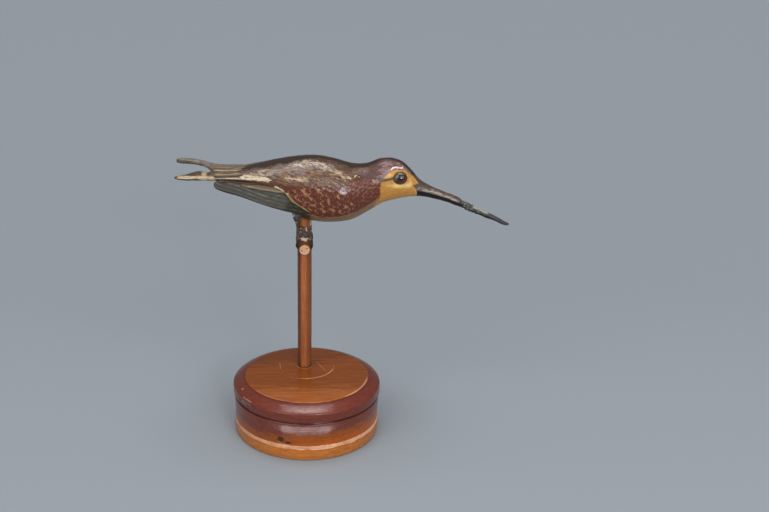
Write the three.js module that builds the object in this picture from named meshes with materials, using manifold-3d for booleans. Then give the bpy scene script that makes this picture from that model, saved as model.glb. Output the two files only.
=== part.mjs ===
// A painted wooden hummingbird on its turned stand.
// Sizes are in millimetres and +Z is up. +X points along the bill, +Y to the bird's left side.
// The origin is the centre of the turned base's underside, which stands on the table.

import * as THREE from "three";
import { mergeVertices } from "three/addons/utils/BufferGeometryUtils.js";
import Module from "manifold-3d";

const wasm = await Module();
wasm.setup();

// Air gap between two pieces that meet.
const GAP = 0.3;

// Turned base, from the underside up.
const FOOT_RADIUS = 33.1;
const FOOT_RING_RADIUS = 33.4;
const FOOT_RING_TOP = 5.3;
const WAIST_FOOT = 7.4;
const WAIST_TOP = 17.8;
const WAIST_FOOT_RADIUS = 32.9;
const WAIST_TOP_RADIUS = 33.4;
const WAIST_HOLLOW = 0.12;
const GROOVE_HEIGHT = 18.6;
const GROOVE_RADIUS = 32.5;
const WALL_RADIUS = 33.8;
const WALL_FOOT = 19.4;
const WALL_TOP = 23.2;
const DISC_RADIUS = 28.4;
const DISC_LIP = 0.25;
const BASE_HEIGHT = 26.5;
const BASE_SIDES = 56;

// The post, the peg and the bird are drawn over the base's middle, as they would measure there. Then
// they are seated where the post stands, behind the middle, which makes them a little larger and lower.
const SEAT_SCALE = 1.0177;
const SEAT_PLACE = [0, 8.8, -4.9];

// Dowel post, before it is seated.
const POST_X = -0.9;
const POST_RADIUS = 3.15;
const POST_FOOT = 15.4;
const POST_TOP = 110.4;
const POST_SIDES = 32;

// Cross peg under the bird.
const PEG_RADIUS = 2.25;
const PEG_HEIGHT = 90.75;
const PEG_HALF_LENGTH = 8.5;
const PEG_SIDES = 24;

// The bird's cross sections from the tail root to the bill's tip. Each one is two half ellipses that
// meet at the widest line, and gives its place along X, three heights and its half width.
const BIRD_SECTIONS = [
  { x: -31, top: 124.7, widest: 123.3, bottom: 121.6, half: 10.0 },
  { x: -24, top: 126.3, widest: 123.1, bottom: 116.6, half: 10.9 },
  { x: -18, top: 127.7, widest: 122.6, bottom: 113.0, half: 11.8 },
  { x: -11, top: 129.4, widest: 121.0, bottom: 108.8, half: 12.6 },
  { x: -4, top: 130.6, widest: 118.6, bottom: 104.4, half: 13.1 },
  { x: 3, top: 131.0, widest: 116.8, bottom: 102.2, half: 13.3 },
  { x: 12, top: 129.6, widest: 115.6, bottom: 101.6, half: 13.0 },
  { x: 20, top: 127.3, widest: 115.2, bottom: 102.9, half: 11.7 },
  { x: 26, top: 127.5, widest: 116.8, bottom: 106.0, half: 9.8 },
  { x: 33, top: 129.9, widest: 119.9, bottom: 110.2, half: 8.3 },
  { x: 38, top: 129.7, widest: 120.5, bottom: 111.7, half: 7.8 },
  { x: 42, top: 127.9, widest: 120.0, bottom: 112.6, half: 6.9 },
  { x: 46, top: 124.0, widest: 118.5, bottom: 113.0, half: 5.0 },
  { x: 48.5, top: 121.0, widest: 117.0, bottom: 112.9, half: 3.7 },
  { x: 53.4, top: 117.7, widest: 114.9, bottom: 112.1, half: 2.7 },
  { x: 60, top: 114.8, widest: 112.6, bottom: 110.4, half: 2.2 },
  { x: 68, top: 111.3, widest: 109.4, bottom: 107.6, half: 1.8 },
  { x: 77, top: 106.9, widest: 105.7, bottom: 104.4, half: 1.4 },
  { x: 83, top: 103.9, widest: 102.6, bottom: 101.2, half: 1.2 },
  { x: 87, top: 100.9, widest: 100.2, bottom: 99.3, half: 0.9 },
  { x: 88.8, top: 100.0, widest: 99.6, bottom: 99.3, half: 0.4 },
];
const BODY_RINGS = 46;
const BODY_SIDES = 28;

// Line between face and bill, as three points in the side view.
const BILL_SEAM = [
  { x: 47.4, z: 125.0 },
  { x: 45.8, z: 118.6 },
  { x: 48.6, z: 111.0 },
];
const BILL_TENON_RADIUS = 1.5;
const BILL_TENON_BACK = { x: 40.5, z: 118.6 };
const BILL_TENON_FRONT = { x: 51.6, z: 116.2 };

// Forked tail, one lobe on each side, as sections along X. The inner edge crosses the middle ahead of
// the fork, so that the two lobes are one plate there. Each lobe's outer edge droops by some degrees.
const LOBE_SECTIONS = [
  { x: -22, inner: -1.5, outer: 10.2, z: 123.2, thick: 1.9, droop: 0 },
  { x: -30, inner: -1.5, outer: 10.0, z: 123.4, thick: 1.5, droop: 1 },
  { x: -36, inner: -1.5, outer: 10.3, z: 123.8, thick: 1.15, droop: 3 },
  { x: -39, inner: -1.0, outer: 10.7, z: 124.0, thick: 1.0, droop: 4 },
  { x: -41.5, inner: 1.8, outer: 11.2, z: 124.2, thick: 0.95, droop: 5 },
  { x: -44, inner: 4.3, outer: 12.0, z: 124.6, thick: 0.9, droop: 7 },
  { x: -48, inner: 7.8, outer: 13.2, z: 124.9, thick: 0.8, droop: 8 },
  { x: -52, inner: 9.7, outer: 14.0, z: 125.1, thick: 0.7, droop: 8 },
  { x: -55, inner: 11.0, outer: 14.0, z: 125.2, thick: 0.55, droop: 8 },
  { x: -56.9, inner: 12.1, outer: 13.4, z: 125.2, thick: 0.35, droop: 8 },
];
const LOBE_RINGS = 18;
const LOBE_SIDES = 12;
const LOBE_ROUNDNESS = 0.6;

// Folded wing, as an outline in the side view and a slab thickness.
const WING_TIP = { x: -39.6, z: 121.2 };
const WING_LOWER_EDGE = [
  { x: -36.6, z: 119.0 },
  { x: -29.2, z: 116.7 },
  { x: -19.5, z: 113.1 },
  { x: -9.9, z: 110.0 },
  { x: -2.5, z: 108.4 },
];
const WING_FRONT_EDGE = [
  { x: 2.2, z: 108.4 },
  { x: -1.9, z: 111.4 },
  { x: -6.9, z: 114.6 },
  { x: -8.9, z: 117.5 },
];
const WING_UPPER_EDGE = [
  { x: -10.5, z: 120.2 },
  { x: -18, z: 121.4 },
  { x: -30, z: 122.1 },
  { x: -37.6, z: 122.5 },
];
const WING_THICKNESS = 1.7;
const WING_OUTER_FACE = 11.3;

// Glass eyes, flattened domes.
const EYE_X = 40.2;
const EYE_HEIGHT = 123.0;
const EYE_SIDE = 6.7;
const EYE_RADIUS = 2.95;
const EYE_FLATTEN = 0.6;

// Leg and foot on the bird's right side, as centre lines and radii. The left ones mirror them.
const LEG_LINE = [
  [-6.0, -3.7, 107.5],
  [-5.0, -3.4, 103.2],
  [-4.0, -3.1, 99.5],
  [-3.85, -3.05, 95.2],
];
const HIND_TOE_LINE = [
  [-3.6, -3.3, 95.8],
  [-4.0, -4.2, 93.4],
  [-4.1, -4.5, 91.6],
  [-3.9, -4.6, 90.0],
];
const FRONT_TOE_LINE = [
  [1.4, -3.7, 95.9],
  [2.1, -4.3, 93.4],
  [2.25, -4.5, 91.6],
  [2.1, -4.6, 90.0],
];
const LEG_RADII = [0.75, 0.5];
const TOE_RADII = [0.6, 0.45];
const PAD_BOTTOM = 93.6;
const PAD_TOP = 99.4;
const PAD_THICKNESS = 0.65;
const PAD_START = -150;
const PAD_END = -34;

// A closed triangle mesh as a solid that can be cut and joined.
function solidOf(geometry) {
  const bare = geometry.clone();
  bare.deleteAttribute("normal");
  bare.deleteAttribute("uv");
  const merged = mergeVertices(bare, 1e-4);
  const vertProperties = new Float32Array(merged.attributes.position.array);
  const triVerts = new Uint32Array(merged.index.array);
  return new wasm.Manifold(new wasm.Mesh({ numProp: 3, vertProperties, triVerts }));
}

// A solid's triangles as a geometry that a mesh can show.
function geometryOf(solid) {
  const mesh = solid.getMesh();
  const geometry = new THREE.BufferGeometry();
  geometry.setAttribute("position", new THREE.BufferAttribute(new Float32Array(mesh.vertProperties), 3));
  geometry.setIndex(new THREE.BufferAttribute(new Uint32Array(mesh.triVerts), 1));
  const faceted = geometry.toNonIndexed();
  faceted.computeVertexNormals();
  return faceted;
}

// A solid of the post, the peg or the bird, moved to where the post stands in the base.
function seated(solid) {
  return solid.scale(SEAT_SCALE).translate(SEAT_PLACE);
}

// The same solid on the bird's other side.
function mirrored(solid) {
  return solid.mirror([0, 1, 0]);
}

// A smooth function through one value of each section, along X.
function valueAlong(sections, name) {
  const xs = sections.map((section) => section.x);
  const values = sections.map((section) => section[name]);
  const last = xs.length - 1;
  const secant = (i) => (values[i + 1] - values[i]) / (xs[i + 1] - xs[i]);
  const slope = (i) => {
    if (i === 0) {
      return secant(0);
    }
    if (i === last) {
      return secant(last - 1);
    }
    const before = Math.abs(xs[i] - xs[i - 1]);
    const after = Math.abs(xs[i + 1] - xs[i]);
    return (secant(i - 1) * after + secant(i) * before) / (before + after);
  };
  const rising = xs[last] > xs[0];
  return (x) => {
    let i = 0;
    while (i < last - 1 && (rising ? x > xs[i + 1] : x < xs[i + 1])) {
      i += 1;
    }
    const span = xs[i + 1] - xs[i];
    const t = THREE.MathUtils.clamp((x - xs[i]) / span, 0, 1);
    const bend = t * t * (3 - 2 * t);
    const lead = t * (1 - t) * (1 - t) * span * slope(i);
    const trail = t * t * (t - 1) * span * slope(i + 1);
    return values[i] + bend * (values[i + 1] - values[i]) + lead + trail;
  };
}

// A closed skin over rings of points, with a fan of triangles over each end.
function skinOver(rings) {
  const sides = rings[0].length;
  const positions = [];
  const index = [];
  rings.forEach((ring) => ring.forEach((point) => positions.push(...point)));
  for (let r = 0; r < rings.length - 1; r += 1) {
    for (let s = 0; s < sides; s += 1) {
      const next = (s + 1) % sides;
      const a = r * sides + s;
      const b = r * sides + next;
      index.push(a, b, a + sides, b, b + sides, a + sides);
    }
  }
  [0, rings.length - 1].forEach((r) => {
    const middle = [0, 1, 2].map((axis) => rings[r].reduce((sum, point) => sum + point[axis], 0) / sides);
    const centre = positions.length / 3;
    positions.push(...middle);
    for (let s = 0; s < sides; s += 1) {
      const next = (s + 1) % sides;
      const edge = [r * sides + next, r * sides + s];
      index.push(centre, ...(r === 0 ? edge : edge.reverse()));
    }
  });
  const geometry = new THREE.BufferGeometry();
  geometry.setAttribute("position", new THREE.Float32BufferAttribute(positions, 3));
  geometry.setIndex(index);
  return geometry;
}

// A skin that faces outwards whichever way its rings run.
function solidOver(rings) {
  const geometry = skinOver(rings);
  const solid = solidOf(geometry);
  return solid.volume() > 0 ? solid : solidOf(skinOver([...rings].reverse()));
}

// A round bar along a line of points, whose radius runs from the first value to the second.
function taperedBar(points, [startRadius, endRadius], rings = 12, sides = 10) {
  const curve = new THREE.CatmullRomCurve3(points.map((point) => new THREE.Vector3(...point)));
  const frames = curve.computeFrenetFrames(rings, false);
  const ringPoints = [];
  for (let r = 0; r <= rings; r += 1) {
    const centre = curve.getPointAt(r / rings);
    const radius = THREE.MathUtils.lerp(startRadius, endRadius, r / rings);
    const ring = [];
    for (let s = 0; s < sides; s += 1) {
      const angle = (2 * Math.PI * s) / sides;
      const point = centre.clone();
      point.addScaledVector(frames.normals[r], radius * Math.cos(angle));
      point.addScaledVector(frames.binormals[r], radius * Math.sin(angle));
      ring.push(point.toArray());
    }
    ringPoints.push(ring);
  }
  return solidOver(ringPoints);
}

// An upright cylinder between two heights, at a place along X.
function uprightCylinder(radius, low, high, x, sides) {
  const geometry = new THREE.CylinderGeometry(radius, radius, high - low, sides);
  geometry.rotateX(Math.PI / 2);
  geometry.translate(x, 0, (low + high) / 2);
  return solidOf(geometry);
}

// A cylinder across the post, along Y.
function crossCylinder(radius, halfLength, sides) {
  const geometry = new THREE.CylinderGeometry(radius, radius, 2 * halfLength, sides);
  geometry.translate(POST_X, 0, PEG_HEIGHT);
  return solidOf(geometry);
}

// A prism over an outline in the side view, between two distances along -Y.
function sidePrism(outline, near, far) {
  const shape = new THREE.Shape(outline.map((point) => new THREE.Vector2(point.x, point.z)));
  const geometry = new THREE.ExtrudeGeometry(shape, { depth: far - near, bevelEnabled: false });
  geometry.rotateX(Math.PI / 2);
  geometry.translate(0, -near, 0);
  return solidOf(geometry);
}

// The base's outline from the axis at the underside to the axis on top.
function baseProfile() {
  const at = (radius, height) => new THREE.Vector2(radius, height);
  const points = [at(0, 0), at(FOOT_RADIUS - 0.5, 0), at(FOOT_RADIUS, 0.5)];
  points.push(at(FOOT_RING_RADIUS, 2.6), at(FOOT_RING_RADIUS, FOOT_RING_TOP));
  points.push(at(FOOT_RING_RADIUS - 0.25, FOOT_RING_TOP + 0.9));
  const waistSteps = 4;
  for (let i = 0; i <= waistSteps; i += 1) {
    const t = i / waistSteps;
    const straight = THREE.MathUtils.lerp(WAIST_FOOT_RADIUS, WAIST_TOP_RADIUS, t);
    const radius = straight - WAIST_HOLLOW * Math.sin(Math.PI * t);
    points.push(at(radius, THREE.MathUtils.lerp(WAIST_FOOT, WAIST_TOP, t)));
  }
  points.push(at(GROOVE_RADIUS, GROOVE_HEIGHT), at(WALL_RADIUS - 0.2, WALL_FOOT - 0.3));
  points.push(at(WALL_RADIUS, WALL_FOOT), at(WALL_RADIUS, WALL_TOP));
  const shoulderSteps = 6;
  const shoulderTop = BASE_HEIGHT - DISC_LIP;
  for (let i = 0; i <= shoulderSteps; i += 1) {
    const angle = (Math.PI / 2) * (i / shoulderSteps);
    const radius = DISC_RADIUS + (WALL_RADIUS - 0.2 - DISC_RADIUS) * Math.cos(angle);
    points.push(at(radius, WALL_TOP + 0.25 + (shoulderTop - WALL_TOP - 0.25) * Math.sin(angle)));
  }
  points.push(at(DISC_RADIUS - 0.15, BASE_HEIGHT), at(0, BASE_HEIGHT));
  return points;
}

function turnedBase() {
  const geometry = new THREE.LatheGeometry(baseProfile(), BASE_SIDES);
  geometry.rotateX(Math.PI / 2);
  const socket = uprightCylinder(POST_RADIUS + GAP, POST_FOOT - GAP, POST_TOP, POST_X, POST_SIDES);
  return solidOf(geometry).subtract(seated(socket));
}

function post() {
  const dowel = uprightCylinder(POST_RADIUS, POST_FOOT, POST_TOP, POST_X, POST_SIDES);
  return dowel.subtract(crossCylinder(PEG_RADIUS + GAP, 2 * POST_RADIUS, PEG_SIDES));
}

function perchPeg() {
  return crossCylinder(PEG_RADIUS, PEG_HALF_LENGTH, PEG_SIDES);
}

// One of the bird's cross sections, enlarged all round where grow is above zero.
function birdRing(along, x, sides, grow) {
  const widest = along.widest(x);
  const ring = [];
  for (let s = 0; s < sides; s += 1) {
    const angle = (2 * Math.PI * s) / sides;
    const rise = (angle < Math.PI ? along.top(x) - widest : widest - along.bottom(x)) + grow;
    ring.push([x, (along.half(x) + grow) * Math.cos(angle), widest + rise * Math.sin(angle)]);
  }
  return ring;
}

// The whole carved form from the tail root to the bill's tip.
function birdForm(grow = 0) {
  const names = ["top", "widest", "bottom", "half"];
  const along = Object.fromEntries(names.map((name) => [name, valueAlong(BIRD_SECTIONS, name)]));
  const start = BIRD_SECTIONS[0].x;
  const end = BIRD_SECTIONS[BIRD_SECTIONS.length - 1].x;
  const rings = [];
  for (let r = 0; r <= BODY_RINGS; r += 1) {
    rings.push(birdRing(along, THREE.MathUtils.lerp(start, end, r / BODY_RINGS), BODY_SIDES, grow));
  }
  return solidOver(rings);
}

// One tail lobe on the bird's right side, with a flat section that has rounded edges.
function tailLobe() {
  const names = ["inner", "outer", "z", "thick", "droop"];
  const along = Object.fromEntries(names.map((name) => [name, valueAlong(LOBE_SECTIONS, name)]));
  const start = LOBE_SECTIONS[0].x;
  const end = LOBE_SECTIONS[LOBE_SECTIONS.length - 1].x;
  const soften = (value) => Math.sign(value) * Math.abs(value) ** LOBE_ROUNDNESS;
  const rings = [];
  for (let r = 0; r <= LOBE_RINGS; r += 1) {
    const x = THREE.MathUtils.lerp(start, end, r / LOBE_RINGS);
    const middle = (along.inner(x) + along.outer(x)) / 2;
    const halfWidth = (along.outer(x) - along.inner(x)) / 2;
    const ring = [];
    for (let s = 0; s < LOBE_SIDES; s += 1) {
      const angle = (2 * Math.PI * (s + 0.5)) / LOBE_SIDES;
      const outwards = halfWidth * soften(Math.cos(angle));
      const drop = outwards * Math.tan(THREE.MathUtils.degToRad(along.droop(x)));
      ring.push([x, -middle - outwards, along.z(x) - drop + along.thick(x) * soften(Math.sin(angle))]);
    }
    rings.push(ring);
  }
  return solidOver(rings);
}

// The wing's outline in the side view, moved outwards by grow.
function wingOutline(grow) {
  const anchors = [...WING_LOWER_EDGE, ...WING_FRONT_EDGE, ...WING_UPPER_EDGE, WING_TIP];
  const points = anchors.map((point) => new THREE.Vector3(point.x, 0, point.z));
  const samples = new THREE.CatmullRomCurve3(points, true, "centripetal").getPoints(44);
  samples.pop();
  return samples.map((point, i) => {
    const before = samples[(i + samples.length - 1) % samples.length];
    const after = samples[(i + 1) % samples.length];
    const length = Math.hypot(after.x - before.x, after.z - before.z);
    const outX = (after.z - before.z) / length;
    const outZ = -(after.x - before.x) / length;
    return { x: point.x + grow * outX, z: point.z + grow * outZ };
  });
}

function rightWing() {
  return sidePrism(wingOutline(0), WING_OUTER_FACE - WING_THICKNESS, WING_OUTER_FACE);
}

// What is cut from the flank to let the wing in.
function wingRebate() {
  const pastFlank = 10;
  return sidePrism(wingOutline(GAP), WING_OUTER_FACE - WING_THICKNESS - GAP, WING_OUTER_FACE + pastFlank);
}

// The space ahead of the seam between face and bill, with the seam moved back by shift.
function billSide(shift) {
  const ahead = 100;
  const below = 90;
  const above = 130;
  const reach = 20;
  const outline = BILL_SEAM.map((point) => ({ x: point.x - shift, z: point.z }));
  outline.push({ x: ahead, z: below }, { x: ahead, z: above });
  return sidePrism(outline.reverse(), -reach, reach);
}

function billTenon(grow) {
  const back = [BILL_TENON_BACK.x - grow, 0, BILL_TENON_BACK.z];
  const front = [BILL_TENON_FRONT.x, 0, BILL_TENON_FRONT.z];
  const radius = BILL_TENON_RADIUS + grow;
  return taperedBar([back, front], [radius, radius], 2, 12);
}

function bill() {
  return birdForm().intersect(billSide(0)).add(billTenon(0));
}

function eyeForm(grow) {
  const geometry = new THREE.SphereGeometry(EYE_RADIUS + grow, 20, 12);
  geometry.rotateX(Math.PI / 2);
  geometry.scale(1, EYE_FLATTEN, 1);
  geometry.translate(EYE_X, -EYE_SIDE, EYE_HEIGHT);
  return solidOf(geometry);
}

// The body with the head and the forked tail, and what is let into it cut out.
function carvedBody() {
  const lobe = tailLobe();
  const rebate = wingRebate();
  const eyeSocket = eyeForm(GAP);
  const postSocket = uprightCylinder(POST_RADIUS + GAP, PEG_HEIGHT, POST_TOP + GAP, POST_X, POST_SIDES);
  return birdForm()
    .add(lobe)
    .add(mirrored(lobe))
    .subtract(billSide(GAP))
    .subtract(billTenon(GAP))
    .subtract(rebate)
    .subtract(mirrored(rebate))
    .subtract(eyeSocket)
    .subtract(mirrored(eyeSocket))
    .subtract(postSocket);
}

// The moulded pad that wraps the near side of the post above the peg.
function footPad() {
  const steps = 8;
  const inner = POST_RADIUS + GAP;
  const outer = inner + PAD_THICKNESS;
  const at = (radius, step) => {
    const angle = THREE.MathUtils.degToRad(THREE.MathUtils.lerp(PAD_START, PAD_END, step / steps));
    return new THREE.Vector2(POST_X + radius * Math.cos(angle), radius * Math.sin(angle));
  };
  const points = [];
  for (let i = 0; i <= steps; i += 1) {
    points.push(at(outer, i));
  }
  for (let i = steps; i >= 0; i -= 1) {
    points.push(at(inner, i));
  }
  const shape = new THREE.Shape(points);
  const geometry = new THREE.ExtrudeGeometry(shape, { depth: PAD_TOP - PAD_BOTTOM, bevelEnabled: false });
  geometry.translate(0, 0, PAD_BOTTOM);
  return solidOf(geometry);
}

function rightFoot() {
  return taperedBar(LEG_LINE, LEG_RADII)
    .add(taperedBar(HIND_TOE_LINE, TOE_RADII, 8))
    .add(taperedBar(FRONT_TOE_LINE, TOE_RADII, 8))
    .add(footPad())
    .subtract(birdForm(GAP))
    .subtract(uprightCylinder(POST_RADIUS + GAP, BASE_HEIGHT, POST_TOP, POST_X, POST_SIDES))
    .subtract(crossCylinder(PEG_RADIUS + GAP, 2 * PEG_HALF_LENGTH, PEG_SIDES));
}

function material(color, roughness, metalness = 0) {
  return new THREE.MeshStandardMaterial({ color, roughness, metalness });
}

function named(name, solid, finish) {
  const mesh = new THREE.Mesh(geometryOf(solid), finish);
  mesh.name = name;
  return mesh;
}

const carving = new THREE.Group();
carving.add(named("turned_base", turnedBase(), material(0x7d4327, 0.35)));
carving.add(named("post", seated(post()), material(0x8a4d28, 0.4)));
carving.add(named("perch_peg", seated(perchPeg()), material(0xd9a877, 0.6)));
carving.add(named("carved_body", seated(carvedBody()), material(0x6d4231, 0.35)));
const wing = rightWing();
carving.add(named("right_wing", seated(wing), material(0x3b4238, 0.4)));
carving.add(named("left_wing", seated(mirrored(wing)), material(0x3b4238, 0.4)));
carving.add(named("bill", seated(bill()), material(0x3a342e, 0.35)));
const eye = eyeForm(0);
carving.add(named("right_eye", seated(eye), material(0x17130f, 0.05)));
carving.add(named("left_eye", seated(mirrored(eye)), material(0x17130f, 0.05)));
const foot = rightFoot();
carving.add(named("right_foot", seated(foot), material(0x2c2621, 0.5)));
carving.add(named("left_foot", seated(mirrored(foot)), material(0x2c2621, 0.5)));

export default carving;
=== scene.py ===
import itertools
import math

import bpy
import numpy as np
from mathutils import Matrix


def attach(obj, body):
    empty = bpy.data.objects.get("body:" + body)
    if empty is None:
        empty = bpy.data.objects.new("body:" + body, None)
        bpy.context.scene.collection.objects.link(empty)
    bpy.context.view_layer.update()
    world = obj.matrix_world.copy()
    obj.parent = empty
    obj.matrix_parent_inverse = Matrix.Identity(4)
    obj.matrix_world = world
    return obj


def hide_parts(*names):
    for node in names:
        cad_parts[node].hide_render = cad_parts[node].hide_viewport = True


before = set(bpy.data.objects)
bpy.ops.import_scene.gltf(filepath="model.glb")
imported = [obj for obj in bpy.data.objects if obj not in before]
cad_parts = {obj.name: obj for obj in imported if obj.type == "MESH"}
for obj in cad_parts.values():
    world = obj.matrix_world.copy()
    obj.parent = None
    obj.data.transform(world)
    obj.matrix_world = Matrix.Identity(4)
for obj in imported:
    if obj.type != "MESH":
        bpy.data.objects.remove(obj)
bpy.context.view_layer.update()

# A small painted wooden hummingbird on its turned stand.
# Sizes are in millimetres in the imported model's frame and become metres when a mesh is made.
# +X points along the bill, +Y to the bird's left side, and the floor is at height 0.
MM = 0.001
RIGHT, LEFT = -1, 1

# Camera, from the photograph's perspective.
PHOTO_WIDTH = 769
FOCAL_PIXELS = 1200
PRINCIPAL_PIXEL = 305.5
CAMERA_PLACE = (-0.52, -497.4, 277.2)
CAMERA_PITCH = 21.152
SENSOR_WIDTH = 36

# Turned base.
FOOT_RADIUS = 33.1
FOOT_RING_RADIUS = 33.4
FOOT_RING_TOP = 5.3
WAIST_FOOT = 7.4
WAIST_TOP = 17.8
WAIST_FOOT_RADIUS = 32.9
WAIST_TOP_RADIUS = 33.4
WAIST_HOLLOW = 0.12
GROOVE_HEIGHT = 18.6
GROOVE_RADIUS = 32.5
WALL_RADIUS = 33.8
WALL_FOOT = 19.4
WALL_TOP = 23.2
DISC_RADIUS = 28.4
SHOULDER_BULGE = 0.25
BASE_HEIGHT = 26.5
BASE_SIDES = 400
PROFILE_INNER = 0.4
PROFILE_STEP = 0.33
UNDERSIDE_STEP = 1.6
CUTTER_SIDES = 64
SOCKET_GAP = 0.12
PEG_GAP = 0.1

# The post, the peg and the bird are drawn over the base's middle, as they would measure there. Then
# they are seated where the post stands, behind the middle, which makes them a little larger and lower.
SEAT_SCALE = 1.0177
SEAT_PLACE = (0, 8.8, -4.9)

# Dowel post and cross peg, before they are seated.
POST_X = -0.9
POST_RADIUS = 3.15
POST_FOOT = 15.4
POST_TOP = 110.4
POST_RINGS, POST_SIDES = 260, 88
PEG_RADIUS = 2.25
PEG_HEIGHT = 90.75
PEG_HALF_LENGTH = 8.5
PEG_BEVEL = 0.35
PEG_SIDES = 72

# The bird's cross sections: place along X, top, widest line, bottom and half width.
BIRD_SECTIONS = (
    (-31, 124.7, 123.3, 121.6, 10.0), (-24, 126.3, 123.1, 116.6, 10.9), (-18, 127.7, 122.6, 113.0, 11.8),
    (-11, 129.4, 121.0, 108.8, 12.6), (-4, 130.6, 118.6, 104.4, 13.1), (3, 131.0, 116.8, 102.2, 13.3),
    (12, 129.6, 115.6, 101.6, 13.0), (20, 127.3, 115.2, 102.9, 11.7), (26, 127.5, 116.8, 106.0, 9.8),
    (33, 129.9, 119.9, 110.2, 8.3), (38, 129.7, 120.5, 111.7, 7.8), (42, 127.9, 120.0, 112.6, 6.9),
    (46, 124.0, 118.5, 113.0, 5.0), (48.5, 121.0, 117.0, 112.9, 3.7), (53.4, 117.7, 114.9, 112.1, 2.7),
    (60, 114.8, 112.6, 110.4, 2.2), (68, 111.3, 109.4, 107.6, 1.8), (77, 106.9, 105.7, 104.4, 1.4),
    (83, 103.9, 102.6, 101.2, 1.2), (87, 101.6, 100.5, 99.4, 1.0), (88.8, 100.7, 100.0, 99.3, 0.7),
)
TAIL_ROOT = BIRD_SECTIONS[0][0]
BILL_TIP = BIRD_SECTIONS[-1][0]
BODY_RINGS, BODY_SIDES = 338, 220
BILL_RINGS, BILL_SIDES = 300, 72

# Line between face and bill, as pairs of height and place along X.
BILL_SEAM = ((111.0, 48.6), (118.6, 45.8), (125.0, 47.4))

# Tail lobes: place along X, inner edge, outer edge, middle height, half thickness and droop in degrees.
NEAR_LOBE = (
    (-22, -1.5, 10.2, 123.2, 1.9, 0), (-30, -1.5, 10.0, 123.4, 1.5, 1), (-36, -1.5, 10.3, 123.8, 1.15, 3),
    (-38.6, 0.0, 10.7, 124.0, 1.0, 4), (-40, 2.4, 10.9, 124.1, 0.98, 4), (-41.5, 3.6, 11.2, 124.2, 0.95, 5),
    (-42.8, 5.6, 11.6, 124.4, 0.92, 6), (-44, 5.0, 12.0, 124.6, 0.9, 7), (-48, 6.4, 12.9, 124.9, 0.8, 8),
    (-50.6, 9.4, 13.6, 124.9, 0.74, 8), (-51.7, 10.4, 13.8, 125.0, 0.7, 8), (-54, 11.4, 13.8, 125.1, 0.58, 8),
    (-55.8, 12.3, 13.3, 125.2, 0.36, 8),
)
FAR_LOBE = (
    (-22, -1.5, 10.2, 123.2, 1.9, 0), (-30, -2.0, 10.0, 123.4, 1.5, 1), (-36, -3.2, 10.6, 123.8, 1.15, 3),
    (-39, -2.8, 11.2, 124.0, 1.0, 4), (-40.6, -1.2, 11.7, 124.1, 0.97, 4), (-42.2, 1.8, 12.2, 124.3, 0.95, 5),
    (-44.5, 5.6, 13.0, 124.6, 0.92, 6), (-48, 8.8, 14.0, 124.8, 1.05, 6), (-52, 10.2, 14.5, 125.0, 1.15, 6),
    (-55.4, 10.8, 14.6, 125.1, 1.15, 6), (-57.5, 11.9, 14.2, 125.1, 0.8, 6),
)
LOBE_RINGS, LOBE_SIDES = 210, 92
LOBE_ROUNDNESS = 0.5
FEATHER_WIDTH = 5.1

# Middle height of the tail's side wall, and how far out its edge is, as pairs with the place along X.
TAIL_WALL_MIDDLE = ((-54, 124.8), (-48, 124.4), (-44, 124.2), (-36, 123.5), (-30, 123.3), (-22, 123.2))
TAIL_OUTER_EDGE = ((-57, 13.6), (-52, 13.9), (-48, 13.2), (-44, 12.0), (-39, 10.7), (-36, 10.3), (-30, 10.0),
                   (-22, 10.2))

# Folded wing in the side view, from the front to the rounded tip.
WING_UPPER = ((-8.9, 118.6), (-12, 120.9), (-18, 121.9), (-25, 122.4), (-32, 122.9), (-38.0, 122.9),
              (-39.5, 121.9))
WING_LOWER = ((2.6, 107.9), (-2.5, 108.1), (-9.9, 109.6), (-19.5, 112.7), (-29.2, 116.3), (-36.6, 118.6),
              (-38.8, 119.7), (-39.6, 121.0))
WING_BAND = ((-27.8, 122.2), (-27.4, 121.0), (-25.4, 120.4), (-19.4, 119.1), (-13.7, 118.2), (-9.8, 117.6),
             (-6, 117.0))
WING_FACE = 11.3
WING_THICKNESS = 1.7
WING_STEPS, WING_ROWS, WING_BACK_ROWS = 230, 84, 26
PRIMARY_WIDTH = 1.75
POCKET_LINE = ((-17.0, 121.6), (-13.8, 120.8), (-11.4, 119.8), (-9.4, 118.4), (-8.2, 117.0), (-6.7, 114.4),
               (-3.9, 112.4), (-0.3, 109.9), (2.5, 108.2), (4.8, 107.0))

# Glass eyes.
EYE_PLACE = (40.0, 6.7, 123.0)
EYE_RADIUS = 3.05
EYE_FLATTEN = 0.6
EYE_SQUINT = 0.86
EYE_TILT = 20
EYE_RINGS, EYE_SIDES = 60, 72
GLASS_ROUGHNESS = 0.03

# Leg and toes on the right side, as centre lines.
LEG_LINE = ((-6.2, -3.7, 107.5), (-5.2, -3.5, 103.6), (-4.15, -3.2, 100.2), (-3.95, -3.1, 95.2))
HIND_TOE_LINE = ((-3.6, -3.3, 95.8), (-4.1, -4.2, 93.4), (-4.2, -4.5, 91.6), (-3.9, -4.6, 89.9))
FRONT_TOE_LINE = ((1.4, -3.6, 95.9), (2.1, -4.2, 93.4), (2.3, -4.4, 91.6), (2.1, -4.5, 89.9))
PAD_HEIGHTS = (93.5, 99.4)
PAD_ANGLES = (-158, -22)
PAD_ROWS, PAD_STEPS = 46, 60

# The break in the bill, as pairs of height and place along X, and how far the outer part slipped.
CRACK = ((107.4, 69.0), (108.6, 67.6), (109.4, 68.3), (110.4, 67.0), (111.2, 67.7), (112.4, 66.6))
BREAK_SLIP = (0.0, -0.2, -0.42)
RIDGE_PITCH = 1.25

# The gape, as pairs of place along X and degrees up from the widest line.
GAPE_LINE = ((46.4, -20), (50, -6), (56, 2))

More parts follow.
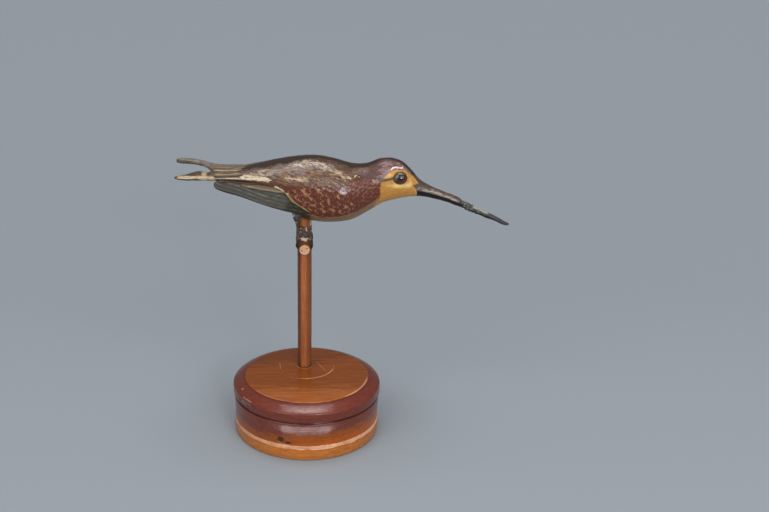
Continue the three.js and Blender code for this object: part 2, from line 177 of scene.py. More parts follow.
# Where the ochre of the face ends in front, as pairs of height and place along X. A dark notch runs back
# into it at the gape.
FACE_FRONT = ((111.0, 47.8), (114.6, 47.7), (116.8, 47.5), (118.5, 46.3), (119.35, 45.5), (119.6, 48.2),
              (120.6, 47.6), (121.9, 46.6), (123.8, 44.6), (125.5, 42.7), (127.5, 40.2))

# Borders of the painted areas, as pairs of place along X and degrees up from the widest line.
BREAST_TOP = ((-14, -4), (-7, 10), (2, 17), (10, 22), (16, 30), (21, 38), (26, 36), (32, 24))
BREAST_FOOT = ((-14, -30), (-2, -44), (2.7, -46), (10, -40), (15, -37.6), (19, -33), (23, -33), (26, -30),
               (29, -28), (32, -24))
MANTLE_FOOT = ((-31, -10), (-16, 8), (-7, 14), (10, 20), (18.5, 38), (24, 56), (27, 76))
# The line of a painted highlight along the mantle, as pairs of place along X and degrees up.
MANTLE_HIGHLIGHT = ((-14, 56), (-4, 64), (2, 65), (9, 56), (14, 47), (19, 38), (23, 30))
CROWN_EDGE = ((-31, 90), (-26, 81), (-18, 70), (-10, 72), (0, 80), (14, 79), (24, 78), (32, 83), (38, 81),
              (43, 70), (46, 59), (48, 50))
FACE_TOP = ((31.2, 17), (32.4, 18), (34.7, 31), (37, 38), (39, 42), (40.8, 46), (42.2, 49), (43.8, 57),
            (46, 62))
VENT_TOP = ((-31, -2), (-22, -2), (-14, -6), (-8, -18), (0, -42), (4, -56))


def srgb(red, green, blue):
    """A linear colour from sRGB values of 0 to 255."""
    values = np.array([red, green, blue]) / 255
    linear = np.where(values <= 0.04045, values / 12.92, ((values + 0.055) / 1.055) ** 2.4)
    return (*linear, 1.0)


def ramp(value, low, high):
    """0 at low and 1 at high, with a smooth rise between."""
    t = np.clip((value - low) / (high - low), 0, 1)
    return t * t * (3 - 2 * t)


def between(value, low, high, soft):
    """1 from low to high, with edges as wide as twice soft."""
    return ramp(value, low - soft, low + soft) * ramp(value, high + soft, high - soft)


def smooth_curve(xs, values):
    """A smooth function through values at xs."""
    order = np.argsort(xs)
    xs = np.array(xs, float)[order]
    values = np.array(values, float)[order]
    gaps = np.diff(xs)
    secants = np.diff(values) / gaps
    inner = (secants[:-1] * gaps[1:] + secants[1:] * gaps[:-1]) / (gaps[:-1] + gaps[1:])
    slopes = np.concatenate([secants[:1], inner, secants[-1:]])

    def curve(x):
        i = np.clip(np.searchsorted(xs, x) - 1, 0, len(xs) - 2)
        t = np.clip((x - xs[i]) / gaps[i], 0, 1)
        bend = t * t * (3 - 2 * t)
        lead = t * (1 - t) ** 2 * gaps[i] * slopes[i]
        trail = t * t * (t - 1) * gaps[i] * slopes[i + 1]
        return values[i] + bend * (values[i + 1] - values[i]) + lead + trail

    return curve


def border(place, table):
    """The value at each place on the line through a table of pairs."""
    return np.interp(place, *zip(*table))


def circle(sides):
    """Angles in even steps round a full turn."""
    return np.linspace(0, 2 * math.pi, sides, endpoint=False)


def spot(*offsets):
    """1 in the middle of a soft spot and almost 0 at two of its radii, from the offsets in radii."""
    return np.exp(-sum(np.square(offset) for offset in offsets))


def section_curves(sections):
    """One smooth function along X for each column of a table of sections."""
    xs, *columns = zip(*sections)
    return [smooth_curve(xs, column) for column in columns]


def smooth_line(points, count):
    """Points at even steps along a smooth line through a few points."""
    points = np.array(points, float)
    lengths = np.concatenate([[0], np.cumsum(np.linalg.norm(np.diff(points, axis=0), axis=1))])
    steps = np.linspace(0, lengths[-1], count)
    return np.stack([smooth_curve(lengths, column)(steps) for column in points.T], -1)


def noise(points, size, seed=0):
    """Smooth random values from -1 to 1 in lumps of about that size, which may differ by axis."""
    places = points / np.array(size, float) + 13.7 * seed
    cells = np.floor(places).astype(np.int64)
    parts = places - cells
    parts = parts * parts * (3 - 2 * parts)
    total = np.zeros(len(points))
    for corner in itertools.product((0, 1), repeat=3):
        x, y, z = (cells + corner).T
        mixed = (x * 73856093) ^ (y * 19349663) ^ (z * 83492791) ^ (seed * 2654435)
        mixed = ((mixed ^ (mixed >> 13)) * 1274126177) & 0x7FFFFFFF
        mixed = ((mixed ^ (mixed >> 15)) * 2246822519) & 0x7FFFFFFF
        weight = np.where(corner, parts, 1 - parts).prod(axis=1)
        total += weight * ((mixed >> 8) % 4096 / 2047.5 - 1)
    return total


def uneven(points, size, seed, middle, swing):
    """Random values within 0 and 1 about a middle one, in lumps of about that size."""
    return np.clip(middle + swing * noise(points, size, seed), 0, 1)


def distance_to_line(places, line):
    """How far each 2-D place is from a line through points."""
    nearest = np.full(len(places), np.inf)
    for start, end in zip(np.array(line[:-1], float), np.array(line[1:], float)):
        along = end - start
        t = np.clip((places - start) @ along / (along @ along), 0, 1)
        nearest = np.minimum(nearest, np.linalg.norm(places - start - t[:, None] * along, axis=1))
    return nearest


def loft(name, rings):
    """A closed mesh over rings of points, fanned over at both ends, with its faces outwards."""
    rings = np.array(rings, float)
    count, sides = rings.shape[:2]
    points = np.vstack([rings.reshape(-1, 3), rings[0].mean(0), rings[-1].mean(0)])
    here = np.arange(sides)
    following = (here + 1) % sides
    rows = np.arange(count - 1)[:, None] * sides
    near, far = (rows + here).ravel(), (rows + following).ravel()
    quads = np.stack([near, far, far + sides, near + sides], 1)
    last = (count - 1) * sides
    first_fan = np.stack([np.full(sides, count * sides), following, here], 1)
    last_fan = np.stack([np.full(sides, count * sides + 1), last + here, last + following], 1)
    fans = np.vstack([first_fan, last_fan])
    triangles = np.vstack([quads[:, :3], quads[:, [0, 2, 3]], fans])
    a, b, c = (points[triangles[:, i]] for i in range(3))
    if np.einsum("ij,ij->", a, np.cross(b, c)) < 0:
        quads, fans = quads[:, ::-1], fans[:, ::-1]
    mesh = bpy.data.meshes.new(name)
    mesh.from_pydata(points * MM, [], quads.tolist() + fans.tolist())
    mesh.validate()
    piece = bpy.data.objects.new(name, mesh)
    bpy.context.scene.collection.objects.link(piece)
    return piece


def combine(piece, other, operation):
    """Joins other to the piece or cuts it out, as one closed mesh, and removes other."""
    change = piece.modifiers.new(operation, "BOOLEAN")
    change.operation = operation
    change.solver = "MANIFOLD"
    change.object = other
    bpy.context.view_layer.objects.active = piece
    bpy.ops.object.modifier_apply(modifier=change.name)
    bpy.data.objects.remove(other)


def tube(name, line, radii, count, sides, lumps=0.0, seed=1):
    """A round bar along a line of points, whose radius follows radii from end to end."""
    centres = smooth_line(line, count)
    along = np.gradient(centres, axis=0)
    along /= np.linalg.norm(along, axis=1)[:, None]
    side = np.cross(along, np.cross([0.3, 0.9, 0.1], along))
    side /= np.linalg.norm(side, axis=1)[:, None]
    other = np.cross(along, side)
    radius = smooth_curve(np.linspace(0, 1, len(radii)), radii)(np.linspace(0, 1, count))
    angle = circle(sides)
    spokes = side[:, None] * np.cos(angle)[:, None] + other[:, None] * np.sin(angle)[:, None]
    bumps = noise((centres[:, None] + spokes).reshape(-1, 3), 0.9, seed).reshape(count, sides)
    return loft(name, centres[:, None] + spokes * (radius[:, None] * (1 + lumps * bumps))[..., None])


def cylinder(name, start, end, radius):
    return tube(name, (start, (np.array(start) + end) / 2, end), (radius, radius), 3, CUTTER_SIDES)


class Paint:
    """The coats of paint on one piece: masks from 0 to 1 at each of its points."""

    def __init__(self, piece):
        self.mesh = piece.data
        count = len(self.mesh.vertices)
        places = np.empty(count * 3)
        self.mesh.vertices.foreach_get("co", places)
        facing = np.empty(count * 3)
        self.mesh.vertices.foreach_get("normal", facing)
        self.points = places.reshape(-1, 3) / MM
        self.normals = facing.reshape(-1, 3)
        self.order = np.argsort(self.points[:, 0])
        self.sorted_x = self.points[self.order, 0]

    def lay(self, name, mask):
        attribute = self.mesh.attributes.new(name, "FLOAT", "POINT")
        attribute.data.foreach_set("value", np.clip(mask, 0, 1).astype(np.float32))

    def strokes(self, where, count, length, width, heading, seed):
        """Bristly brush strokes at random places inside where, in about the heading direction."""
        random = np.random.default_rng(seed)
        mask = np.zeros(len(self.points))
        for i in random.choice(len(self.points), count, p=where / where.sum()):
            normal = self.normals[i]
            turned = np.array(heading, float) + random.normal(0, 0.22, 3)
            along = turned - normal * (turned @ normal)
            along /= np.linalg.norm(along)
            across = np.cross(normal, along)
            reach = length * random.uniform(0.55, 1.35)
            half = width * random.uniform(0.6, 1.3)
            low, high = np.searchsorted(self.sorted_x, self.points[i, 0] + np.array([-reach, reach]))
            near = self.order[low:high]
            offset = self.points[near] - self.points[i]
            u = offset @ along / reach
            v = offset @ across / half + 0.35 * u * u * random.uniform(-1, 1)
            depth = np.abs(offset @ normal) < 1.6
            bristles = 0.72 + 0.28 * np.sin(v * random.uniform(7, 11) + random.uniform(0, 6))
            shape = np.clip(1 - u**4, 0, 1) * np.clip(1 - v**4, 0, 1) * bristles * depth
            mask[near] = np.maximum(mask[near], shape * random.uniform(0.55, 1.0))
        return mask * np.minimum(where * 1.6, 1)


# Node materials. A coat's mask is strengthened by the gain, so that its noise breaks only the edges.
COAT_GAIN = 1.55
NOISE_RANGE = (0.3, 0.7)
FIBRE_RANGE = (0.48, 0.66)
BUMP_STRENGTH = 0.6
VARNISH_ROUGHNESS = 0.16


def add_node(material, kind, **settings):
    node = material.node_tree.nodes.new("ShaderNode" + kind)
    for name, value in settings.items():
        setattr(node, name, value)
    return node


def wire(material, source, target):
    material.node_tree.links.new(source, target)


def scaled_noise(material, sizes, detail=3.0, roughness=0.55):
    """A noise whose lumps have the given sizes in millimetres along X, Y and Z."""
    place = add_node(material, "TexCoord")
    mapping = add_node(material, "Mapping")
    mapping.inputs["Scale"].default_value = [1 / (MM * size) for size in sizes]
    texture = add_node(material, "TexNoise")
    texture.inputs["Scale"].default_value = 1.0
    texture.inputs["Detail"].default_value = detail
    texture.inputs["Roughness"].default_value = roughness
    wire(material, place.outputs["Object"], mapping.inputs["Vector"])
    wire(material, mapping.outputs["Vector"], texture.inputs["Vector"])
    return texture.outputs["Fac"]


def remapped(material, source, low, high, to_low, to_high):
    node = add_node(material, "MapRange")
    bounds = {"From Min": low, "From Max": high, "To Min": to_low, "To Max": to_high}
    for name, value in bounds.items():
        node.inputs[name].default_value = value
    wire(material, source, node.inputs["Value"])
    return node.outputs["Result"]


def mixed(material, factor, below, above):
    """The colour above laid on the colour below, where each is a socket or a fixed colour."""
    node = add_node(material, "Mix", data_type="RGBA")
    wire(material, factor, node.inputs["Factor"])
    for name, colour in (("A", below), ("B", above)):
        socket = [s for s in node.inputs if s.name == name and s.type == "RGBA"][0]
        if isinstance(colour, tuple):
            socket.default_value = colour
        else:
            wire(material, colour, socket)
    return [s for s in node.outputs if s.type == "RGBA"][0]


def masked(material, attribute, operation, *inputs):
    """One of the piece's masks multiplied by the first input, with a second one added if it is given."""
    mask = add_node(material, "Attribute", attribute_name=attribute)
    factor = add_node(material, "Math", operation=operation, use_clamp=True)
    wire(material, mask.outputs["Fac"], factor.inputs[0])
    for socket, source in zip(list(factor.inputs)[1:], inputs):
        if isinstance(source, float):
            socket.default_value = source
        else:
            wire(material, source, socket)
    return factor.outputs[0]


def painted(name, ground, coats, edge, gloss, varnish, tint, tint_range=(0.86, 1.12), fibre=None,
            fibre_mask=None, shine=0.15, bump=0.04, bump_size=(0.4, 0.4, 0.4)):
    """A surface of a ground colour under coats of paint, whose edges are broken and whose colour varies."""
    material = bpy.data.materials.new(name)
    material.use_nodes = True
    shader = material.node_tree.nodes["Principled BSDF"]
    broken = remapped(material, scaled_noise(material, edge), *NOISE_RANGE, 0.0, 1 - COAT_GAIN)
    colour = srgb(*ground)
    for coat, coat_colour in coats.items():
        factor = masked(material, coat, "MULTIPLY_ADD", COAT_GAIN, broken)
        colour = mixed(material, factor, colour, srgb(*coat_colour))
    if fibre:
        sizes, fibre_colour, strength = fibre
        lines = remapped(material, scaled_noise(material, sizes, 5.0, 0.7), *FIBRE_RANGE, 0.0, strength)
        if fibre_mask:
            lines = masked(material, fibre_mask, "MULTIPLY", lines)
        colour = mixed(material, lines, colour, srgb(*fibre_colour))
    shift = add_node(material, "HueSaturation")
    patchy = remapped(material, scaled_noise(material, tint), *NOISE_RANGE, *tint_range)
    wire(material, patchy, shift.inputs["Value"])
    wire(material, colour, shift.inputs["Color"])
    wire(material, shift.outputs["Color"], shader.inputs["Base Color"])
    fine = scaled_noise(material, bump_size, 4.0, 0.6)
    wire(material, remapped(material, fine, *NOISE_RANGE, *gloss), shader.inputs["Roughness"])
    relief = add_node(material, "Bump")
    relief.inputs["Strength"].default_value = BUMP_STRENGTH
    relief.inputs["Distance"].default_value = bump * MM
    wire(material, fine, relief.inputs["Height"])
    wire(material, relief.outputs["Normal"], shader.inputs["Normal"])
    shader.inputs["Specular IOR Level"].default_value = shine
    shader.inputs["Coat Weight"].default_value = varnish
    shader.inputs["Coat Roughness"].default_value = VARNISH_ROUGHNESS
    return material


def install(piece, material, node, sharp=40, seated=True):
    """Gives the piece its finish and its place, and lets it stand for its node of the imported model."""
    if seated:
        place = Matrix.Translation([value * MM for value in SEAT_PLACE])
        piece.data.transform(place @ Matrix.Scale(SEAT_SCALE, 4))
    piece.data.materials.clear()
    piece.data.materials.append(material)
    piece.data.shade_smooth()
    piece.data.set_sharp_from_angle(angle=math.radians(sharp))
    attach(piece, "root")
    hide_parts(node)


# The turned base.
def base_profile():
    """Radius and height from the underside's middle to the top's middle, in short steps."""
    corners = [(PROFILE_INNER, 0), (FOOT_RADIUS - 0.5, 0), (FOOT_RADIUS, 0.5), (FOOT_RING_RADIUS, 2.6)]
    corners += [(FOOT_RING_RADIUS, FOOT_RING_TOP), (FOOT_RING_RADIUS - 0.3, FOOT_RING_TOP + 0.5)]
    corners += [(FOOT_RING_RADIUS - 0.1, FOOT_RING_TOP + 1.1), (FOOT_RING_RADIUS - 0.2, WAIST_FOOT - 0.5)]
    for t in np.linspace(0, 1, 9):
        straight = WAIST_FOOT_RADIUS + (WAIST_TOP_RADIUS - WAIST_FOOT_RADIUS) * t
        radius = straight - WAIST_HOLLOW * math.sin(math.pi * t)
        corners.append((radius, WAIST_FOOT + (WAIST_TOP - WAIST_FOOT) * t))
    corners += [(GROOVE_RADIUS, GROOVE_HEIGHT), (WALL_RADIUS - 0.2, WALL_FOOT - 0.3)]
    corners += [(WALL_RADIUS, WALL_FOOT), (WALL_RADIUS, WALL_TOP)]
    for t in np.linspace(0, 1, 13):
        inwards = SHOULDER_BULGE * math.cos(t * math.pi / 2) + (1 - SHOULDER_BULGE) * (1 - t)
        upwards = SHOULDER_BULGE * math.sin(t * math.pi / 2) + (1 - SHOULDER_BULGE) * t
        radius = DISC_RADIUS + (WALL_RADIUS - 0.2 - DISC_RADIUS) * inwards
        corners.append((radius, WALL_TOP + 0.25 + (BASE_HEIGHT - 0.5 - WALL_TOP) * upwards))
    corners += [(DISC_RADIUS - 0.15, BASE_HEIGHT - 0.35), (DISC_RADIUS - 0.45, BASE_HEIGHT)]
    corners.append((PROFILE_INNER, BASE_HEIGHT))
    points = []
    for start, end in zip(corners[:-1], corners[1:]):
        on_underside = start[1] == 0 and end[1] == 0
        step = UNDERSIDE_STEP if on_underside else PROFILE_STEP
        count = max(1, round(math.dist(start, end) / step))
        points += [np.array(start) + (np.array(end) - start) * i / count for i in range(count)]
    points.append(np.array(corners[-1]))
    points = np.array(points)
    rounded = points.copy()
    rounded[1:-1] = (points[:-2] + 2 * points[1:-1] + points[2:]) / 4
    return rounded


# Dents in the base: angle round, height, half length round, half height, depth and the coat that shows.
BASE_DENTS = (
    (-145.5, 20.6, 5.6, 2.0, 0.5, "dent_green"), (-157.6, 24.8, 1.0, 0.35, 0.15, "mark_pale"),
    (-143.5, 23.5, 4.2, 0.26, 0.2, "mark_pale"), (-110.4, 9.5, 2.0, 1.5, 0.5, "knot"),
    (-105.4, 8.3, 3.6, 0.7, 0.25, "knot"), (-62, 25.6, 1.6, 0.5, 0.12, None),
    (-20, 21.0, 1.4, 0.5, 0.15, "mark_pale"), (35, 22.5, 2.4, 0.9, 0.3, "mark_pale"),
    (118, 9.2, 2.0, 0.8, 0.3, None), (160, 21.5, 1.6, 0.7, 0.35, "mark_pale"),
)
POST_PLACE = (POST_X * SEAT_SCALE, SEAT_PLACE[1])
SCRIBED_RADIUS = 13.7
DISC_SCRATCHES = (
    ((4.9, 12.1), (8.5, 3.7)), ((-12.6, 11.2), (-12.2, 5.0)), ((-7.2, -14.6), (-6.2, -14.8)),
    ((-5.3, -14.4), (-4.4, -14.9)), ((12.5, -17.0), (14.5, -16.0)),
)


def dent_field(points, angle, height, half_length, half_height):
    """1 in the middle of a dent in the base's side and 0 past its ragged edge."""
    turn = np.degrees(np.arctan2(points[:, 1], points[:, 0])) - angle
    along = np.radians((turn + 180) % 360 - 180) * WALL_RADIUS
    spread = np.hypot(along / half_length, (points[:, 2] - height) / half_height)
    ragged = spread + 0.25 * noise(points, (0.9, 0.9, 0.5), 5)
    outside = np.hypot(points[:, 0], points[:, 1]) > DISC_RADIUS - 1
    return ramp(ragged, 1.15, 0.55) * outside


def dents_showing(coat, points):
    """1 in the dents where that coat shows."""
    return sum(dent_field(points, *place) for *place, _, shown in BASE_DENTS if shown == coat)


def scribed(points):
    """1 on the shallow circle scribed in the disc, which is worn away at the back."""
    x, y = POST_PLACE
    off = np.abs(np.hypot(points[:, 0] - x, points[:, 1] - y) - SCRIBED_RADIUS)
    kept = ramp(points[:, 1] - 0.45 * points[:, 0], 12, -3)
    return ramp(off, 0.42, 0.1) * kept * (points[:, 2] > BASE_HEIGHT - 0.4)


def scratched(points):
    """1 along the fine scratches in the disc."""
    nearest = np.min([distance_to_line(points[:, :2], line) for line in DISC_SCRATCHES], axis=0)
    return ramp(nearest, 0.4, 0.1) * (points[:, 2] > BASE_HEIGHT - 0.4)


def turned_base():
    turns = circle(BASE_SIDES)
    profile = base_profile()
    radius, height = profile[:, :1], profile[:, 1:]
    rings = np.stack([radius * np.cos(turns), radius * np.sin(turns), height + 0 * turns], -1)
    flat = rings.reshape(-1, 3)
    on_top = flat[:, 2] > BASE_HEIGHT - 0.2
    at_foot = ramp(flat[:, 2], 0.0, 1.5)
    outwards = flat * (1, 1, 0) / np.hypot(flat[:, 0], flat[:, 1])[:, None]
    worn = 0.07 * noise(flat, (9, 9, 1.2), 2) + 0.03 * noise(flat, (1.5, 1.5, 0.6), 3)
    dents = sum(depth * dent_field(flat, *place) for *place, depth, _ in BASE_DENTS)
    sideways = np.where(on_top, 0, worn * at_foot - dents)
    lowered = 0.05 * noise(flat, (12, 1.6, 1), 4) - 0.04 - 0.14 * scribed(flat) - 0.1 * scratched(flat)
    moved = flat + outwards * sideways[:, None]
    moved[:, 2] += np.where(on_top, lowered, 0)
    piece = loft("turned_base", moved.reshape(rings.shape))
    socket_foot = POST_FOOT * SEAT_SCALE + SEAT_PLACE[2] - 0.3
    socket_radius = (POST_RADIUS + SOCKET_GAP) * SEAT_SCALE
    socket = cylinder("socket", (*POST_PLACE, socket_foot), (*POST_PLACE, BASE_HEIGHT + 2), socket_radius)
    combine(piece, socket, "DIFFERENCE")
    paint = Paint(piece)
    x, y, z = paint.points.T
    on_disc = (z > BASE_HEIGHT - 0.5) & (np.hypot(x, y) < DISC_RADIUS)
    streak = noise(paint.points, (11, 1.2, 0.8), 8)
    paint_disc(paint, on_disc, streak)
    paint_drum(paint, ~on_disc, streak)
    coats = dict(
        disc_back_shade=(122, 64, 29), disc_front_light=(182, 102, 48), mahogany=(120, 56, 44),
        mahogany_shade=(78, 34, 26), bloom_and_sheen=(182, 140, 134), amber=(178, 86, 14), raw_edge_and_highlight=(236, 178, 138),
        raw_foot=(196, 120, 50), rim_dark=(92, 46, 32), rim_highlight=(214, 152, 112),
        mark_pale=(220, 168, 130), dent_green=(122, 118, 96), knot=(44, 34, 20),
    )
    finish = painted("stained_base", (150, 78, 25), coats, edge=(2.2, 0.5, 0.3), tint=(14, 1.6, 1.2),
                     tint_range=(0.82, 1.14), fibre=((9, 0.45, 0.4), (84, 42, 22), 0.42),
                     gloss=(0.3, 0.46), varnish=0.6, shine=0.1, bump=0.07, bump_size=(1.6, 0.45, 0.35))
    install(piece, finish, "turned_base", sharp=50, seated=False)


def paint_disc(paint, on_disc, streak):
    """The disc's stain, with painted shade at the back and painted light at the front, a darker line and a
    painted highlight along its rim at the front, and the marks on it.
    """
    points = paint.points
    x, y, z = points.T
    # Painted shade darkens the disc towards the back, and painted light brightens it towards the front.
    dark = 0.85 * ramp(y + 6 * streak - 0.25 * x, 4, 22) + 0.25 * ramp(x, 12, 26)
    paint.lay("disc_back_shade", on_disc * dark)
    paint.lay("disc_front_light", on_disc * ramp(0.15 * streak - y / WALL_RADIUS, 0.2, 0.62) * 0.8)
    turn = np.degrees(np.arctan2(y, x))
    rim = between(np.hypot(x, y), DISC_RADIUS - 0.75, DISC_RADIUS - 0.1, 0.3) * (z > BASE_HEIGHT - 0.6)
    paint.lay("rim_dark", rim * ramp(turn, -150, -120) * ramp(turn, -60, -95) * 0.5)
    # A painted highlight along the rim, strongest at the front right.
    paint.lay("rim_highlight", rim * (between(turn, -52, -8, 5) + 0.45 * between(turn, -140, -75, 12)))
    from_post = np.hypot(x - POST_PLACE[0], y - POST_PLACE[1])
    foot_ring = 0.75 * between(from_post, 3.2, 3.7, 0.2) * on_disc * ramp(y - POST_PLACE[1], 1.5, -1.5)
    marks = scribed(points) * (0.35 + 0.65 * between(turn, -120, 25, 15)) + 0.45 * scratched(points)
    paint.lay("mark_pale", marks + foot_ring + 0.55 * dents_showing("mark_pale", points))


def paint_drum(paint, on_side, streak):
    """The side's mahogany, which fades to amber lower down, painted shade in the groove, by the rim and on
    the wall, a raw edge with a painted highlight, varnish bloom with painted sheen at the front, and stained
    dents.
    """
    points = paint.points
    x, y, z = points.T
    radius, front = np.hypot(x, y), -y / WALL_RADIUS
    blur = noise(points, (3, 3, 0.9), 7)
    at_left = ramp(-x - 0.6 * y, 22, 38)
    paint.lay("mahogany", on_side * ramp(z + 0.9 * blur + 3 * at_left, 11.0, 15.5))
    # Painted shade in the groove, on the shoulder just outside the disc's rim, and on the wall below the
    # shoulder.
    groove = between(z, GROOVE_HEIGHT - 0.7, GROOVE_HEIGHT + 0.5, 0.45)
    shade_by_rim = between(radius, DISC_RADIUS - 0.1, DISC_RADIUS + 0.9, 0.4) * (z > BASE_HEIGHT - 0.9)
    paint.lay("mahogany_shade", on_side * (groove + 0.45 * shade_by_rim + 0.3 * between(z, 19.4, 22.8, 0.6)))
    scuffs_and_gloss = uneven(points, (1.3, 1.3, 0.7), 9, 0.5, 0.9)
    # Varnish bloom with painted sheen on the front: a haze and two glare spots on the waist, and a haze on
    # the shoulder's bevel.
    waist_sheen = ramp(z, 9.5, 15) * ramp(z, 17.6, 16.4) * between(x, -11.3, 10.6, 2.0) * (y < 0)
    glare = (spot((x + 9.2) / 2.0, (z - 15.3) / 1.3) + spot((x - 8.4) / 2.0, (z - 15.3) / 1.3)) * (y < 0)
    band = between(z, 13.8, 17.4, 0.9) * ramp(front, 0.72, 0.98)
    shoulder = between(z, 23.7, 26.3, 0.5) * (radius < WALL_RADIUS - 0.4) * on_side * ramp(front, 0.84, 0.98)
    hazy_sheen = 0.42 * waist_sheen + 0.6 * glare * (0.6 + 0.5 * scuffs_and_gloss) + 0.3 * band
    paint.lay("bloom_and_sheen", np.maximum(hazy_sheen, 0.56 * shoulder))
    paint.lay("amber", between(z + 0.8 * blur + 4 * at_left, -2, 10.4, 1.8) * (0.95 - 0.1 * at_left))
    # The bead's top is a worn pale edge, with a painted highlight where it faces up.
    edge_wear_and_highlight = between(z + 0.12 * blur, 5.5, 7.3, 0.3) * (0.7 + 0.3 * ramp(blur, -0.4, 0.2))
    paint.lay("raw_edge_and_highlight", edge_wear_and_highlight * (1 - 0.35 * at_left))
    paint.lay("raw_foot", ramp(z, 5.6, 4.8) * (0.75 + 0.25 * streak))
    paint.lay("dent_green", 0.9 * dents_showing("dent_green", points) * ramp(z, 19.6, 20.6) * scuffs_and_gloss)
    knot_edge = 0.85 + 0.5 * noise(points, (0.7, 0.7, 0.4), 10)
    paint.lay("knot", 0.87 * dents_showing("knot", points) * knot_edge)


# The post and the cross peg.
def post():
    heights = np.linspace(POST_FOOT, POST_TOP, POST_RINGS)[:, None, None] * (0, 0, 1)
    turns = circle(POST_SIDES)
    rings = heights + np.stack([np.cos(turns), np.sin(turns), 0 * turns], -1) * POST_RADIUS
    flat = rings.reshape(-1, 3)
    ripple = 0.035 * noise(flat, (0.5, 0.5, 14), 11) + 0.03 * noise(flat, (2, 2, 3), 12)
    flat = flat + flat * (1, 1, 0) / POST_RADIUS * ripple[:, None] + (POST_X, 0, 0)
    piece = loft("post", flat.reshape(rings.shape))
    hole_ends = [(POST_X, side * 6, PEG_HEIGHT) for side in (RIGHT, LEFT)]
    combine(piece, cylinder("hole", *hole_ends, PEG_RADIUS + PEG_GAP), "DIFFERENCE")
    paint_post(Paint(piece))
    coats = dict(
        post_streaks_and_shade=(96, 52, 30), post_highlight=(192, 112, 64), post_soot=(118, 98, 86),
        post_filler=(206, 180, 146), post_nick=(70, 38, 26),
    )
    finish = painted("post_wood", (142, 82, 46), coats, edge=(0.3, 0.3, 3), tint=(0.9, 0.9, 16),
                     fibre=((0.32, 0.32, 7), (84, 42, 24), 0.35), gloss=(0.34, 0.5), varnish=0.25,
                     bump=0.05, bump_size=(0.25, 0.25, 3))
    install(piece, finish, "post")


def paint_post(paint):
    """Painted shade down both sides over dark streaks, a painted highlight down the middle, soot and pale
    filler near the feet, and a nick at the base.
    """
    points = paint.points
    x, _, z = points.T
    streak = noise(points, (0.8, 0.8, 22), 13)
    broad = noise(points, (2.4, 2.4, 30), 14)
    facing = (x - POST_X) / POST_RADIUS
    # Painted shade down the left and right sides, and a painted highlight down the middle.
    sides = np.maximum(ramp(-facing, 0.3, 0.8), 0.6 * ramp(facing, 0.3, 0.9))
    paint.lay("post_streaks_and_shade", sides * (0.6 + 0.4 * streak) + 0.35 * ramp(streak + 0.4 * broad, -0.45, -0.8))
    paint.lay("post_highlight", between(facing + 0.1 * streak, -0.45, 0.3, 0.18) * (0.55 + 0.35 * streak))
    paint.lay("post_soot", 0.6 * ramp(z + 2.0 * streak, 95, 104) * ramp(noise(points, 1.1, 15), 0.1, 0.6))
    filler = between(z, 99.6, 103.6, 0.7) * ramp(facing, 0.62, 0.9)
    paint.lay("post_filler", filler + 0.7 * between(z, 96.5, 98, 0.5) * ramp(facing, -0.2, 0.3))
    paint.lay("post_nick", ramp(z, 32.6, 31.0) * 0.6)


def perch_peg():
    """The cross peg with its sawn ends, a little rounded at their rims."""
    radii = [*np.linspace(0.1, PEG_RADIUS - PEG_BEVEL, 16), PEG_RADIUS - 0.12, PEG_RADIUS]
    insets = np.array([0.0] * 16 + [0.1, PEG_BEVEL])
    straight = np.linspace(-PEG_HALF_LENGTH + PEG_BEVEL, PEG_HALF_LENGTH - PEG_BEVEL, 70)[1:-1]
    along = np.concatenate([insets - PEG_HALF_LENGTH, straight, PEG_HALF_LENGTH - insets[::-1]])
    radii = np.array(radii + [PEG_RADIUS] * len(straight) + radii[::-1])
    turns = circle(PEG_SIDES)
    ring = np.stack([np.cos(turns), 0 * turns, np.sin(turns)], -1)
    rings = ring * radii[:, None, None] + along[:, None, None] * (0, 1, 0)
    flat = rings.reshape(-1, 3)
    at_end = ramp(np.abs(flat[:, 1]), PEG_HALF_LENGTH - 0.5, PEG_HALF_LENGTH - 0.1)
    saw_marks = 0.05 * noise(flat, (2, 9, 0.35), 21) + 0.04 * noise(flat, 0.5, 22)
    flat[:, 1] -= np.sign(flat[:, 1]) * at_end * (0.06 + saw_marks)
    flat *= 1 + (1 - at_end[:, None]) * 0.012 * noise(flat, (0.7, 5, 0.7), 23)[:, None] * (1, 0, 1)
    piece = loft("perch_peg", (flat + (POST_X, 0, PEG_HEIGHT)).reshape(rings.shape))
    paint_peg(Paint(piece))
    coats = dict(peg_rim=(242, 206, 176), peg_speck=(150, 96, 62), peg_stain=(128, 76, 44))
    finish = painted("end_grain", (222, 170, 132), coats, edge=(0.25, 0.25, 0.25), tint=(0.7, 2, 0.7),
                     fibre=((0.2, 3, 0.2), (160, 104, 68), 0.4), gloss=(0.5, 0.7), varnish=0.0, bump=0.05,
                     bump_size=(0.2, 1.5, 0.2))
    install(piece, finish, "perch_peg")


def paint_peg(paint):
    """The ends' pale end grain, with specks and growth rings, and the stained side."""
    x, y, z = (paint.points - (POST_X, 0, PEG_HEIGHT)).T
    out = np.hypot(x, z) / PEG_RADIUS
    face = ramp(np.abs(y), PEG_HALF_LENGTH - 0.5, PEG_HALF_LENGTH - 0.25)
    paint.lay("peg_stain", 1 - face)
    paint.lay("peg_rim", face * ramp(out, 0.66, 0.9) * ramp(z, 0.6, -0.8))
    specks = spot((x + 1.25) / 0.42, (z + 0.35) / 0.34) + spot((x - 0.95) / 0.42, (z - 0.7) / 0.34)
    growth = ramp(np.sin(9 * np.hypot(x - 0.8, z - 1.4) + noise(paint.points, 1.2, 24)), 0.2, 1)
    paint.lay("peg_speck", face * (specks + 0.35 * growth + 0.5 * ramp(out, 0.92, 1.0)))


